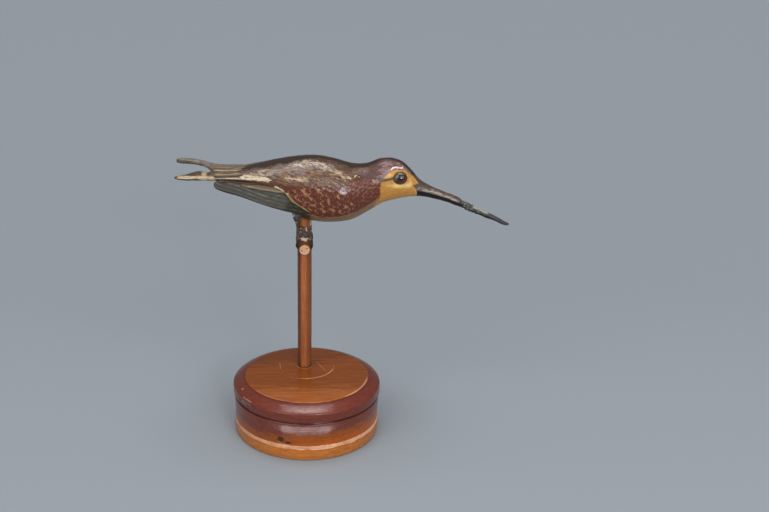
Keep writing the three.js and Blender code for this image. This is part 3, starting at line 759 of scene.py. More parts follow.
# The carved bird.
top_line, widest_line, bottom_line, half_line = section_curves(BIRD_SECTIONS)
SCALLOP_REAR, SCALLOP_FRONT = -14.0, 33.0
SCALLOP_LENGTHS = (3.2, 1.65)
SCALLOP_DEGREES = 10.5

# Small chips in the near flank: place along X, degrees up from the widest line and radius.
FLANK_CHIPS = ((21.0, 50, 0.45), (20.5, 47, 0.36), (22.3, 45.5, 0.22), (24.8, 60, 0.28))


def bird_point(x, roll):
    """A point on the carved form. Roll is 0 on the right side's widest line and a right angle on top."""
    widest = widest_line(x)
    rise = np.where(np.sin(roll) > 0, top_line(x) - widest, widest - bottom_line(x))
    return np.stack([x + 0 * roll, -half_line(x) * np.cos(roll), widest + rise * np.sin(roll)], -1)


def roll_of(points):
    """Degrees up from the widest line on either side: 90 on the back's ridge and -90 under the belly."""
    x, y, z = points.T
    widest = widest_line(x)
    rise = np.where(z > widest, top_line(x) - widest, widest - bottom_line(x))
    return np.degrees(np.arctan2((z - widest) / rise, np.abs(y) / half_line(x)))


def seam_place(roll):
    """Where along X the seam between face and bill runs at each angle round the head."""
    x = np.full_like(roll, BILL_SEAM[1][1])
    for _ in range(24):
        x = (x + border(bird_point(x, roll)[..., 2], BILL_SEAM)) / 2
    return x


def swept_form(rolls, starts, ends, count):
    """Points of the carved form in rings from starts to ends, and the direction outwards at each."""
    x = starts + (ends - starts) * np.linspace(0, 1, count)[:, None]
    outwards = np.stack([0 * x, -np.cos(rolls) + 0 * x, np.sin(rolls) + 0 * x], -1)
    return bird_point(x, rolls + 0 * x).reshape(-1, 3), outwards.reshape(-1, 3)


def scallops(x, roll, points):
    """How far each point is towards the rear rim of the breast feather that covers it, from 0 to 1."""
    rear_length, front_length = SCALLOP_LENGTHS
    slope = (front_length - rear_length) / (SCALLOP_FRONT - SCALLOP_REAR)
    length = np.maximum(rear_length + slope * (x - SCALLOP_REAR), 1.2)
    column = np.log(length / rear_length) / slope + 0.16 * noise(points, 2.6, 31)
    row = roll / SCALLOP_DEGREES + 0.16 * noise(points, 2.6, 32)
    reach = np.ones(len(points))
    covered = np.zeros(len(points), bool)
    for ahead in (2, 1, 0):
        feather = np.floor(column) + ahead
        stagger = 0.5 * (feather % 2)
        middle = np.round(row - stagger) + stagger
        spread = np.hypot((column - feather) / 1.2, (row - middle) / 0.62)
        fresh = (spread < 1) & ~covered & (column < feather + 0.2)
        reach[fresh] = spread[fresh]
        covered |= fresh
    return reach


def breast_area(x, roll, points):
    """1 on the scalloped breast and flanks."""
    wander = 2.5 * noise(points, 2.2, 33)
    upper, lower = border(x, BREAST_TOP), border(x, BREAST_FOOT)
    rear = border(roll, ((-50, 0), (-40, -2), (-30, -6), (-10, -10), (10, -13)))
    across = ramp(roll + wander, upper + 4, upper - 4) * ramp(roll + wander, lower - 1.5, lower + 1.5)
    return across * ramp(x, rear - 0.6, rear + 0.6) * ramp(x + 0.2 * wander, 32.4, 31.6)


def flank_chips(points, roll, core):
    """For each chip, 1 in its core, which is given as a share of its radius, and 0 past its ragged edge."""
    ragged = 0.2 * noise(points, 0.5, 37)
    near = points[:, 1] < 0
    chips = []
    for chip_x, chip_roll, radius in FLANK_CHIPS:
        x = points[:, 0]
        spread = np.hypot(x - chip_x, np.radians(roll - chip_roll) * half_line(x)) / radius
        chips.append(ramp(spread + ragged, 1.1, core) * near)
    return chips


def eye_distance(points):
    """How far each point is from the eye's middle in the side view, where the eye is a circle."""
    x, _, z = EYE_PLACE
    return np.hypot(points[:, 0] - x, (points[:, 2] - z) / EYE_SQUINT)


def body_relief(points):
    """How far the knife marks, feather rims and chips stand proud of the smooth carved form."""
    x = points[:, 0]
    roll = roll_of(points)
    knife = 0.10 * noise(points, (5.5, 3.0, 3.0), 34) + 0.05 * noise(points, (2.2, 1.1, 1.1), 35)
    brush = 0.028 * noise(points, (3.0, 0.45, 0.45), 36)
    rim = breast_area(x, roll, points) * (ramp(scallops(x, roll, points), 0.1, 0.98) - 0.5) * 0.16
    from_eye = eye_distance(points)
    lid = 0.10 * spot((from_eye - 3.75) / 0.5) - 0.3 * spot((from_eye - 2.95) / 0.28)
    socket = -1.3 * ramp(from_eye, 2.9, 2.3)
    steady = (0.35 + 0.65 * ramp(x, 47.5, 45.0)) * ramp(from_eye, 2.6, 4.6)
    return (knife + brush) * steady + rim + lid + socket - 0.22 * sum(flank_chips(points, roll, 0.5))


def bird_form():
    """The body and head as far as the seam with the bill."""
    rolls = np.linspace(-math.pi, math.pi, BODY_SIDES, endpoint=False)
    flat, outwards = swept_form(rolls, TAIL_ROOT, seam_place(rolls) + 0.05, BODY_RINGS)
    flat = flat + outwards * body_relief(flat)[:, None]
    return loft("carved_body", flat.reshape(BODY_RINGS, BODY_SIDES, 3))


def tail_lobe(name, sections, side):
    """One half of the forked tail, whose feathers lie in steps."""
    inner, outer, height, thick, droop = section_curves(sections)
    x = np.linspace(sections[0][0], sections[-1][0], LOBE_RINGS)[:, None]
    angle = 2 * math.pi * (np.arange(LOBE_SIDES) + 0.5) / LOBE_SIDES
    wide = np.sign(np.cos(angle)) * np.abs(np.cos(angle)) ** LOBE_ROUNDNESS
    high = np.sign(np.sin(angle)) * np.abs(np.sin(angle)) ** LOBE_ROUNDNESS
    outwards = (outer(x) - inner(x)) / 2 * wide
    across = (inner(x) + outer(x)) / 2 + outwards
    body = height(x) - outwards * np.tan(np.radians(droop(x))) + thick(x) * high
    body = body + np.where(high > 0, 0.26, 0.06) * feather_steps(x + 0 * across, outer(x) - across)
    return loft(name, np.stack([x + 0 * across, side * across, body], -1))


def feather_number(x, from_edge):
    """Counts the tail feathers inwards from the outer edge."""
    return from_edge / FEATHER_WIDTH + 0.06 * np.sin(0.35 * x + 1.0)


def feather_steps(x, from_edge):
    """A saw-tooth across the tail: each feather rises inwards and the next one starts lower."""
    rise = feather_number(x, from_edge) % 1
    groove = -0.9 * ramp(np.abs(rise - 0.5), 0.44, 0.5)
    return (rise - 0.5 + groove) * ramp(x, -24.5, -29)


def wing_pocket(side):
    """What is cut from the flank so that the wing comes out from under its edge."""
    lower = np.array([(8, 104.5), (-10, 104.0), (-46, 114.0)])
    upper = np.array([(-46, 121.4), (-30, 121.4)])
    x, z = np.vstack([smooth_line(POCKET_LINE, 60), lower, upper]).T
    depths = (WING_FACE - WING_THICKNESS - 0.2, WING_FACE + 8)
    return loft("pocket", [np.column_stack([x, np.full(len(x), side * depth), z]) for depth in depths])


def carved_body():
    piece = bird_form()
    combine(piece, tail_lobe("near_lobe", NEAR_LOBE, RIGHT), "UNION")
    combine(piece, tail_lobe("far_lobe", FAR_LOBE, LEFT), "UNION")
    for side in (RIGHT, LEFT):
        combine(piece, wing_pocket(side), "DIFFERENCE")
    socket_ends = [(POST_X, 0, height) for height in (PEG_HEIGHT, POST_TOP + 0.3)]
    combine(piece, cylinder("socket", *socket_ends, POST_RADIUS + SOCKET_GAP), "DIFFERENCE")
    paint_body(Paint(piece))
    install(piece, bird_paint(), "carved_body", sharp=48)


# Coats of the bird's paint in the order in which they lie, with their colours.
BIRD_COATS = dict(
    mantle=(108, 84, 69), mantle_lilac=(164, 150, 148), mantle_ochre=(160, 116, 74),
    mantle_cream_and_highlight=(228, 204, 174), mantle_scratch=(66, 46, 34), breast=(104, 57, 44),
    breast_light=(162, 100, 80), breast_shade=(56, 27, 20), fleck=(194, 140, 92), scuffs_and_gloss=(222, 208, 204),
    head=(102, 73, 67), head_sheen=(166, 134, 136), ridge=(62, 46, 38), belly=(148, 114, 76),
    face=(204, 146, 72), face_deep=(204, 144, 68), face_light=(246, 204, 128), brow_highlight=(240, 220, 212),
    eye_line=(98, 86, 65), tail_ground=(126, 104, 84), tail_grey=(163, 154, 146), tail_dark=(71, 62, 49),
    tail_cream=(205, 183, 150), tail_brown_and_shade=(88, 64, 44), rump=(222, 202, 172), vent=(60, 54, 36),
    pocket_edge=(168, 142, 92), pocket_highlight=(236, 222, 190), chip=(226, 210, 194),
)


def bird_paint():
    return painted("bird_paint", (104, 66, 46), BIRD_COATS, edge=(0.7, 0.28, 0.28), tint=(1.8, 0.7, 0.7),
                   tint_range=(0.8, 1.14), fibre=((1.5, 0.34, 0.34), (56, 38, 28), 0.8),
                   fibre_mask="hatched", gloss=(0.28, 0.48), varnish=0.22, bump=0.045,
                   bump_size=(0.9, 0.22, 0.22))


def paint_body(paint):
    points = paint.points
    x, y, z = points.T
    roll = roll_of(points)
    wander = 3.0 * noise(points, (2.6, 1.6, 1.6), 41) + 1.4 * noise(points, 0.8, 42)
    on_form = x > TAIL_ROOT + 1
    paint_mantle(paint, x, roll, wander, on_form)
    paint_breast(paint, x, z, roll)
    paint_head(paint, x, y, z, roll, wander)
    paint_belly(paint, x, y, z, roll, wander)
    paint_tail(paint, x, y, z)
    paint_rump(paint, x, z, roll)


def paint_mantle(paint, x, roll, wander, on_form):
    """The brushed back, between the dark ridge and the flanks, with a painted highlight along it in cream
    strokes.
    """
    lower = border(x, MANTLE_FOOT)
    area = ramp(roll + 2.2 * wander, lower - 9, lower + 9) * ramp(x + 0.9 * wander, 28, 19) * on_form
    paint.lay("mantle", 0.9 * area)
    backwards, slanting = (-1, 0, 0.06), (-1, 0, 0.42)
    middle = ramp(roll, lower + 4, lower + 20) * ramp(roll, 80, 66)
    clouds = 0.3 + ramp(noise(paint.points, (4.5, 2.2, 2.2), 57), -0.3, 0.4)
    clouds += 1.6 * (spot((x + 10.5) / 4, (roll - 49) / 12) + spot((x + 1.5) / 4, (roll - 49) / 12))
    lilac = paint.strokes(area * middle * clouds * ramp(x, 20, 8), 1200, 1.6, 0.42, backwards, 52)
    ochre = paint.strokes(area * ramp(x, -16, -8) * ramp(roll, 64, 40), 420, 2.2, 0.34, slanting, 53)
    # A painted highlight along the mantle, laid in the same cream strokes as the scumble.
    highlight_line = area * spot((roll - border(x, MANTLE_HIGHLIGHT)) / 8) * between(x, -7, 19, 3)
    yellow = area * spot((roll - 28) / 4) * between(x, -9, 0, 2)
    rear = area * between(roll, 22, 60, 8) * between(x, -26, -15, 2) * 0.5
    cream = paint.strokes(highlight_line + 1.5 * yellow + rear + 0.16 * area, 1000, 1.5, 0.3, slanting, 54)
    golden = paint.strokes(yellow, 60, 2.4, 0.3, backwards, 55)
    edges = 0.55 + ramp(roll, lower + 20, lower) + ramp(roll, 60, 76) + 0.8 * ramp(x, -14, -26)
    scratch = paint.strokes(area * edges * ramp(roll, 88, 80), 2200, 1.3, 0.24, slanting, 56)
    paint.lay("mantle_lilac", 0.85 * lilac)
    paint.lay("mantle_ochre", 0.8 * np.maximum(ochre, golden))
    paint.lay("mantle_cream_and_highlight", 0.95 * cream)
    paint.lay("mantle_scratch", 0.9 * scratch)


# Tan flecks on the flank, given one by one: place along X, height, half length and half width.
FLECKS = (
    (-5.4, 119.2, 0.5, 1.3), (-4.6, 117.6, 0.9, 0.5), (-1.4, 119.6, 0.8, 1.5), (-0.4, 117.9, 0.9, 1.2),
    (1.3, 115.9, 1.2, 0.6), (5.3, 118.4, 0.6, 1.4), (-2.9, 115.3, 0.6, 1.1), (-0.3, 113.8, 0.9, 0.8),
    (3.1, 112.3, 0.8, 0.9), (7.4, 109.9, 0.9, 1.2), (11.2, 110.3, 0.9, 1.3), (17.0, 111.6, 0.9, 1.1),
    (14.4, 109.4, 0.8, 0.8), (9.5, 114.8, 0.6, 1.0), (13.3, 116.6, 0.5, 1.1), (19.3, 113.4, 0.6, 0.9),
)


def paint_breast(paint, x, z, roll):
    """Maroon scallops with paler rims and painted shade at their edges, tan flecks towards the rear and a
    painted highlight of white strokes in front.
    """
    points = paint.points
    area = breast_area(x, roll, points)
    reach = scallops(x, roll, points)
    rim = ramp(reach, 0.70, 0.84) * ramp(reach, 1.0, 0.93)
    # Painted shade along each scallop's edge and, fainter, in its middle.
    shadow = ramp(reach, 0.94, 1.0) + ramp(reach, 0.35, 0.0) * 0.5
    ragged = uneven(points, (0.7, 0.7, 0.5), 64, 0.75, 0.9)
    paint.lay("breast", area)
    paint.lay("breast_light", area * rim * ragged * uneven(points, 2.0, 61, 0.7, 0.7))
    paint.lay("breast_shade", area * shadow * 0.9)
    golden = np.zeros(len(x))
    blotch = 0.35 * noise(points, 0.7, 62)
    for fleck_x, height, half_length, half_width in FLECKS:
        slanted = x - fleck_x + 0.45 * (z - height)
        spread = np.hypot(slanted / (half_length + 0.25), (z - height) / (half_width + 0.3))
        golden = np.maximum(golden, ramp(spread + blotch, 1.2, 0.5))
    tan_rims = 0.6 * ramp(x, 24, 10) * ramp(noise(points, 1.6, 63), -0.5, 0.3)
    dabs = paint.strokes(area * golden, 460, 0.85, 0.22, (-0.5, 0, 1), 65)
    crescent = ramp(reach, 0.2, 0.6) * ramp(reach, 1.0, 0.94)
    golden = np.maximum(dabs, 0.6 * golden) * crescent
    paint.lay("fleck", area * np.maximum(golden, ragged * tan_rims * rim))
    # A painted highlight of short white strokes, with a fainter grey sheen above it.
    sheen = spot((x - 15.9) / 2.0, (z - 118.7) / 1.3) + 0.35 * spot((x - 14) / 7, (z - 121) / 2.2)
    paint.lay("scuffs_and_gloss", 0.85 * paint.strokes(sheen * (points[:, 1] < 0), 130, 1.3, 0.26, (-1, 0, 0.5), 66))


# Strokes of the painted highlight on the brow in the side view: line, half width, half width of its core and
# strength.
BROW_HIGHLIGHT_LINES = (
    (((36.2, 126.7), (37.0, 127.25), (38.2, 127.4), (39.4, 127.1), (40.9, 126.9)), 0.58, 0.2, 1),
    (((36.2, 126.2), (37.6, 126.5), (39.0, 126.3)), 0.4, 0.1, 0.45),
    (((33.0, 125.3), (34.4, 126.0), (35.6, 126.5)), 0.9, 0.2, 0.3),
)


def face_area(x, z, roll, wander):
    """1 on the ochre face and throat, which the crown's colour borders above the eye."""
    upper = border(x, FACE_TOP)
    rear = border(roll, ((-90, 29.0), (-50, 29.6), (-35, 30.6), (-21, 31.8), (18, 31.7)))
    front = np.where(z > 119.6, border(z, FACE_FRONT), BILL_TIP)
    area = ramp(roll + 0.5 * wander, upper + 3, upper - 3) * ramp(x + 0.2 * wander, rear - 1.0, rear + 1.0)
    return area * ramp(front - x + 0.05 * wander, -0.25, 0.25)


def paint_head(paint, x, y, z, roll, wander):
    """The maroon head with its dark crown and a painted sheen, the ochre face with its paler marks, the
    painted highlight on the brow, the chips in the paint and a painted sheen on the nape.
    """
    lower = border(x, ((21, 44), (26, 34), (32, 16)))
    head = ramp(x + 0.3 * wander, 21.5, 26) * ramp(roll + wander, lower - 4, lower + 4)
    paint.lay("head", head)
    # A painted sheen of pale strokes on the head's sides.
    sheen = paint.strokes(head * ramp(roll, 80, 62) * ramp(x, 26, 36), 90, 2.4, 0.6, (-1, 0, -0.2), 71)
    paint.lay("head_sheen", 0.85 * sheen)
    crown = border(x, CROWN_EDGE)
    paint.lay("ridge", ramp(roll + 2.2 * wander, crown - 11, crown + 5) * (x > TAIL_ROOT))
    face = face_area(x, z, roll, wander)
    paint.lay("face", face)
    low = border(x, ((31, 2), (36, -6), (44, -20)))
    paint.lay("face_deep", face * ramp(roll + wander, low + 12, low - 14) * 0.85)
    below_eye = spot((z - 119.9 + 0.06 * (x - 38)) / 1.2) * between(x, 33.4, 45.0, 1.8) * ramp(x, 31, 40)
    behind_eye = spot((z - 124.6) / 0.9) * between(x, 33.5, 36.5, 1.0)
    before_eye = spot((x - 44.4) / 0.9, (z - 121.6) / 1.6)
    paint.lay("face_light", face * (below_eye + 0.5 * behind_eye + 0.5 * before_eye))
    paint_brow(paint, np.column_stack([x, z]), wander)
    chips = np.max(flank_chips(paint.points, roll, 0.6), axis=0)
    # The flank's chips and a painted sheen of pale strokes on the nape share the chip coat.
    nape_sheen = spot((x - 29.6) / 1.9, (z - 122.1) / 0.9) * (y < 0)
    paint.lay("chip", chips + 0.7 * paint.strokes(nape_sheen, 26, 1.2, 0.3, (-1, 0, 0.1), 72))
    hatched = border(x, ((-31, 0.6), (-28, 0.9), (20, 0.9), (27, 0.5), (31, 0.35), (33, 0.08)))
    paint.lay("hatched", hatched * (1 - 0.45 * breast_area(x, roll, paint.points)))


def paint_brow(paint, side_view, wander):
    """The painted highlight on the brow above the eye, the dark line behind the eye and the ring around it.
    """
    from_middle = np.abs(paint.points[:, 1])
    ragged = 0.09 * wander
    brow_highlight = 0
    for line, width, core, strength in BROW_HIGHLIGHT_LINES:
        brow_highlight = np.maximum(brow_highlight, strength * ramp(distance_to_line(side_view, line) + ragged, width, core))
    # The brow's white strokes are a painted highlight.
    paint.lay("brow_highlight", brow_highlight * (from_middle > 2))
    line = distance_to_line(side_view, ((31.2, 122.3), (34, 122.6), (37.4, 123.3)))
    around = ramp(eye_distance(paint.points), 3.5, 3.1)
    dark = np.maximum(0.85 * ramp(line + 0.06 * wander, 0.8, 0.35), 0.5 * around)
    paint.lay("eye_line", dark * (from_middle > 3))


def paint_belly(paint, x, y, z, roll, wander):
    """The tan strip below the breast, the dark vent, and the pale edge of the wing's pocket, with a painted
    highlight at its top and a pale blob below that.
    """
    lower = border(x, BREAST_FOOT)
    strip = ramp(roll + 0.3 * wander, lower + 1, lower - 1.5) * ramp(x + 0.3 * wander, -3.0, 2.5)
    paint.lay("belly", strip * ramp(x, 33, 29))
    upper = border(x, VENT_TOP)
    paint.lay("vent", ramp(roll + 0.5 * wander, upper + 2, upper - 3) * ramp(x + 0.2 * wander, 3.0, 0.5))
    side_view = np.column_stack([x, z])
    outside = np.abs(y) > WING_FACE - 1.2
    width = 0.5 + 0.4 * noise(paint.points, 1.8, 75) + 0.35 * between(x, -7.5, -3.5, 0.8)
    edge = ramp(distance_to_line(side_view, POCKET_LINE) - width, 0.25, -0.25)
    paint.lay("pocket_edge", edge * outside * between(x, -9.6, 1.5, 1.5) * 0.9)
    # A painted highlight along the pocket's upper edge, with a pale blob below it.
    highlight_line = distance_to_line(side_view, ((-13.3, 120.9), (-11.4, 120.0), (-9.9, 119.0)))
    blob = np.hypot((x + 8.4) / 0.9, (z - 117.6) / 1.1) + 0.08 * wander
    highlight_line = np.maximum(ramp(highlight_line + 0.1 * wander, 0.62, 0.25), 0.55 * ramp(blob, 1.1, 0.5))
    paint.lay("pocket_highlight", highlight_line * outside)


def paint_tail(paint, x, y, z):
    """Brown and cream feather stripes, with dark side walls, painted shade in brown on their downward faces,
    a brown tip and a pale edge on the near lobe.
    """
    points = paint.points
    side, near = np.abs(y), y < 0
    _, facing_y, facing_z = paint.normals.T
    fingers = 2.6 * noise(points, (9, 0.8, 0.8), 81)
    fine = noise(points, (5, 0.35, 0.35), 86)
    streaks = uneven(points, (5, 0.5, 0.5), 83, 0.7, 0.7)
    on_tail = ramp(x + fingers, -25.5, -29.5)
    on_lobe = ramp(x + 0.5 * fingers, -38.5, -41.5)
    wall = ramp(-facing_y, 0.45, 0.75)
    far_wall = wall * ~near * ramp(facing_z, 0.3, -0.2)
    wall = wall * near
    up_wall = z - border(x, TAIL_WALL_MIDDLE)
    from_edge = border(x, TAIL_OUTER_EDGE) - side
    rise = (feather_number(x, from_edge) + 0.04 * noise(points, (3, 0.5, 0.5), 82)) % 1
    paint.lay("tail_ground", on_tail)
    paint.lay("tail_grey", on_tail * ramp(y, 1, 5) * np.clip(0.6 + 0.8 * fine, 0, 1))
    pale_line = between(up_wall, 0.25, 0.85, 0.16)
    lobe_foot = wall * on_lobe * ramp(up_wall, 0.4, 0.0) * (0.35 + 0.6 * ramp(x, -44.5, -46.5))
    tan_gap = between(x, -44.8, -42.6, 0.6)
    lines = np.maximum(between(rise, 0.06, 0.34, 0.08), ramp(side, 0.9, 0.5)) * (1 - on_lobe)
    lines = np.maximum(lines, 0.8 * ramp(fine, 0.15, 0.4))
    lobe_dark = on_lobe * ramp(from_edge + 0.8 * fine, 1.7, 2.5) * near * (1 - 0.9 * tan_gap)
    top_dark = np.maximum(lines, 0.75 * lobe_dark) * (1 - wall) * (0.5 + 0.5 * streaks)
    walls = np.maximum(0.9 * wall * (1 - pale_line) * (1 - on_lobe), lobe_foot)
    walls = np.maximum(walls, 0.8 * far_wall * ramp(x, -38, -42))
    paint.lay("tail_dark", on_tail * np.maximum(top_dark, walls))
    vane = between(rise, 0.5, 0.82, 0.08) * (1 - wall) * ramp(y, 5, 1) * streaks * (1 - on_lobe)
    pale = np.maximum(wall * pale_line * (1 - on_lobe), on_lobe * ramp(from_edge, 2.2, 1.4) * near)
    pale = np.maximum(pale * (1 - lobe_foot), on_lobe * tan_gap * near * 0.7)
    paint.lay("tail_cream", on_tail * np.maximum(0.95 * vane, pale * np.clip(0.8 + 0.5 * fine, 0, 1)))
    # Painted shade in brown on the walls' downward faces.
    downward_shade = ramp(facing_z, -0.1, -0.45) * wall * ramp(noise(points, (6, 0.8, 0.8), 87), -0.3, 0.3)
    paint.lay("tail_brown_and_shade", on_tail * np.maximum(0.8 * downward_shade, ramp(x, -53.8, -55.4) * near))


def paint_rump(paint, x, z, roll):
    """The cream patch beside the rump, ragged at the rear and slanted in front."""
    points = paint.points
    upper = border(x, ((-28.3, 46), (-21.6, 29), (-14.8, 19)))
    lower = border(x, ((-28.3, 6), (-14.8, 4)))
    front = -14.8 - 1.2 * (upper - roll) / (upper - lower)
    rear = -27.6 + 1.3 * noise(points, (3, 0.6, 0.6), 88)
    ragged = noise(points, (1.2, 0.5, 0.5), 84)
    patch = between(roll + 4 * ragged, lower, upper, 3) * between(x + 0.5 * ragged, rear, front, 0.5)
    worn = uneven(points, (1.6, 0.45, 0.45), 85, 0.9, 0.7)
    paint.lay("rump", patch * worn * ramp(z, 118, 121))


# The folded wings.
def wing_sheet(upper, lower, along, across):
    """Points of the side view, in rows from the upper edge to the lower one, that bulge near the front."""
    sheet = upper[:, None] * (1 - across)[:, None] + lower[:, None] * across[:, None]
    return sheet - ((1 - along) ** 3 * np.sin(math.pi * across))[..., None] * (1.8, 0.9)


def wing(name, side, seed):
    """One folded wing: long primaries along the lower edge and a band of short feathers above them."""
    upper, lower = smooth_line(WING_UPPER, WING_STEPS), smooth_line(WING_LOWER, WING_STEPS)
    along = np.linspace(0, 1, WING_STEPS)[:, None]
    v = np.linspace(0, 1, WING_ROWS)
    face = wing_sheet(upper, lower, along, v)
    height = np.linalg.norm(upper - lower, axis=1)[:, None]
    from_edge = np.minimum(np.minimum(v, 1 - v) * height, (1 - along) * 42)
    rounded = np.sqrt(np.clip(1 - (1 - np.clip(from_edge / 0.7, 0, 1)) ** 2, 0, 1))
    out = WING_FACE - 0.6 * (1 - rounded) + wing_relief(face) * rounded - front_tuck(face)
    back = wing_sheet(upper, lower, along, np.linspace(1, 0, WING_BACK_ROWS)[1:-1])
    inner = WING_FACE - WING_THICKNESS - 0.5 * front_tuck(back)
    plane = np.concatenate([face, back], axis=1)
    depth = np.concatenate([out, inner], axis=1)
    piece = loft(name, np.stack([plane[..., 0], side * depth, plane[..., 1]], -1))
    paint_wing(Paint(piece), seed)
    coats = dict(
        wing_pale=(118, 113, 104), wing_dark=(50, 48, 42), wing_band=(124, 106, 80),
        wing_band_pale=(160, 142, 118), wing_edge=(44, 44, 38), wing_shadow=(66, 40, 30),
        wing_front_shade=(46, 44, 28),
    )
    finish = painted("wing_paint_" + name, (84, 80, 72), coats, edge=(0.9, 0.3, 0.25), tint=(4, 1, 0.8),
                     tint_range=(0.82, 1.15), gloss=(0.3, 0.5), varnish=0.3, bump=0.05,
                     bump_size=(1.1, 0.3, 0.2))
    install(piece, finish, name, sharp=60)


def front_tuck(face):
    """How far the wing's lower front corner bends in, to stay under the flank's edge."""
    return 1.3 * ramp(face[..., 0], -8, 3) * ramp(face[..., 1], 116, 108)


def primary_number(x, z):
    """Counts the long feathers up from the wing's lower edge, along lines that run with that edge."""
    return (z - border(x, sorted(WING_LOWER))) / PRIMARY_WIDTH + 0.12 * np.sin(0.25 * x)


def wing_relief(face):
    """How far the stepped feathers, their shafts and barbs, and the short band's pad stand out."""
    x, z = face[..., 0], face[..., 1]
    rise = primary_number(x, z) % 1
    shaft = 0.06 * spot((rise - 0.55) / 0.07)
    steps = 0.14 * (0.5 - rise) - 0.14 * ramp(np.abs(rise - 0.5), 0.43, 0.5) + shaft
    on_band = ramp(z - border(x, WING_BAND), -0.12, 0.12) * ramp(x, -28.2, -27.6)
    flat = np.stack([x, 0 * x, z], -1).reshape(-1, 3)
    barbs = (0.03 * noise(flat, (1.4, 1, 0.25), 91) + 0.05 * noise(flat, (6, 1, 2), 92)).reshape(x.shape)
    return steps * (1 - on_band) + on_band * (0.34 + 0.3 * barbs) + barbs


def paint_wing(paint, seed):
    points = paint.points
    x, _, z = points.T
    number = primary_number(x, z)
    rise = number % 1
    streak = noise(points, (5, 1, 0.5), seed)
    above = z - border(x, WING_BAND) + 0.12 * streak
    band = ramp(above, -0.4, 0.5) * ramp(x, -28.4, -27.2)
    broken = np.clip(0.3 + 0.9 * streak + 0.5 * noise(points, (1.6, 1, 0.35), seed + 2), 0, 1)
    vane = 0.75 * between(rise, 0.4, 0.85, 0.2) * broken * ramp(number, 0.5, 2.2)
    paint.lay("wing_pale", (1 - band) * vane)
    paint.lay("wing_dark", (1 - band) * ramp(np.abs(rise - 0.5), 0.34, 0.48) * (0.45 + 0.5 * streak))
    paint.lay("wing_band", band * 0.85)
    paint.lay("wing_band_pale", band * between(above, 0.3, 1.1, 0.3) * np.clip(0.5 + 0.8 * streak, 0, 1))
    under_band = 0.6 * (1 - band) * ramp(above, -0.9, -0.1) * ramp(x, -28, -26)
    paint.lay("wing_edge", ramp(number, 0.55, 0.15) + under_band)
    below_top = border(x, sorted(WING_UPPER)) - z + 0.15 * streak
    paint.lay("wing_shadow", ramp(below_top, 1.0, 0.5) * ramp(x, -41, -34) * 0.9)
    # Painted shade deepening the dark paint at the front, where the wing runs under the flank.
    paint.lay("wing_front_shade", ramp(x + 1.5 * streak - 0.4 * (z - 112), -13, -6) * 0.9)


# The bill.
def bill():
    """The long bill, with its gape line, and the break where its outer part slipped a little."""
    rolls = np.linspace(-math.pi, math.pi, BILL_SIDES, endpoint=False)
    flat, outwards = swept_form(rolls, seam_place(rolls) - 0.35, BILL_TIP - 0.05, BILL_RINGS)
    from_crack = crack_distance(flat)
    beyond = ramp(from_crack, -0.18, 0.18)
    roll = roll_of(flat)
    narrowed = 0.25 * beyond * ramp(flat[:, 0], 76, 69)
    flat = flat + outwards * bill_relief(flat, from_crack)[:, None] + beyond[:, None] * np.array(BREAK_SLIP)
    chip = between(flat[:, 0], 73.6, 79.0, 0.5) * ramp(roll, 0, 30) * (flat[:, 1] < 0.2)
    flat = flat - outwards * (0.16 * chip * (1 + noise(flat, 0.6, 103)))[:, None]
    flat[:, 1] *= 1 - narrowed
    piece = loft("bill", flat.reshape(BILL_RINGS, BILL_SIDES, 3))
    paint_bill(Paint(piece))
    coats = dict(
        bill_top=(88, 70, 64), bill_sheen=(172, 156, 146), bill_low=(24, 17, 14),
        bill_outer=(74, 74, 72), bill_crack=(34, 32, 32), bill_chip=(176, 178, 158),
        bill_tip=(58, 60, 62), bill_grey=(132, 132, 128), bill_face=(206, 152, 80),
    )
    finish = painted("bill_paint", (100, 86, 80), coats, edge=(0.6, 0.25, 0.25), tint=(2.4, 0.7, 0.7),
                     tint_range=(0.8, 1.15), gloss=(0.26, 0.45), varnish=0.35, bump_size=(0.8, 0.2, 0.2))
    install(piece, finish, "bill", sharp=50)


def bill_relief(points, from_crack):
    """The gape's groove, whittling, the crack with a swelling before it, and ridges beyond it."""
    x, _, z = points.T
    roll = roll_of(points)
    gape = border(x, GAPE_LINE)
    groove = -0.28 * spot((roll - gape) / 9) * ramp(x, 46.4, 49) * ramp(x, 84, 74)
    under = -0.16 * ramp(roll, gape + 2, gape - 8) * ramp(x, 47, 52)
    whittled = 0.05 * noise(points, (3.0, 0.9, 0.9), 101) + 0.035 * noise(points, (0.8, 0.5, 0.5), 102)
    crack = -0.294 * spot(from_crack / 0.32) - 0.175 * spot((from_crack - 1.6) / 0.35)
    ridged = between(from_crack, 0.4, 6.2, 0.5)
    ridges = 0.13 * np.sin(2 * math.pi * (from_crack + 0.5 * z - 50) / RIDGE_PITCH)
    lumps = 0.16 * noise(points, (0.9, 0.7, 0.7), 106)
    swelling = 0.16 * between(from_crack, -5, -0.4, 0.4)
    deeper = ramp(roll, 10, -30) * (0.45 * between(from_crack, 0.3, 11, 2.0) - 0.35 * ramp(x, 78, 84))
    grooves = (groove + under) * (1 - 0.35 * ramp(x, 46, 60))
    return grooves + whittled + crack + ridged * (ridges + lumps) + swelling + deeper


def crack_distance(points):
    """How far each point is beyond the crack, along X."""
    return points[:, 0] - border(points[:, 2], CRACK)


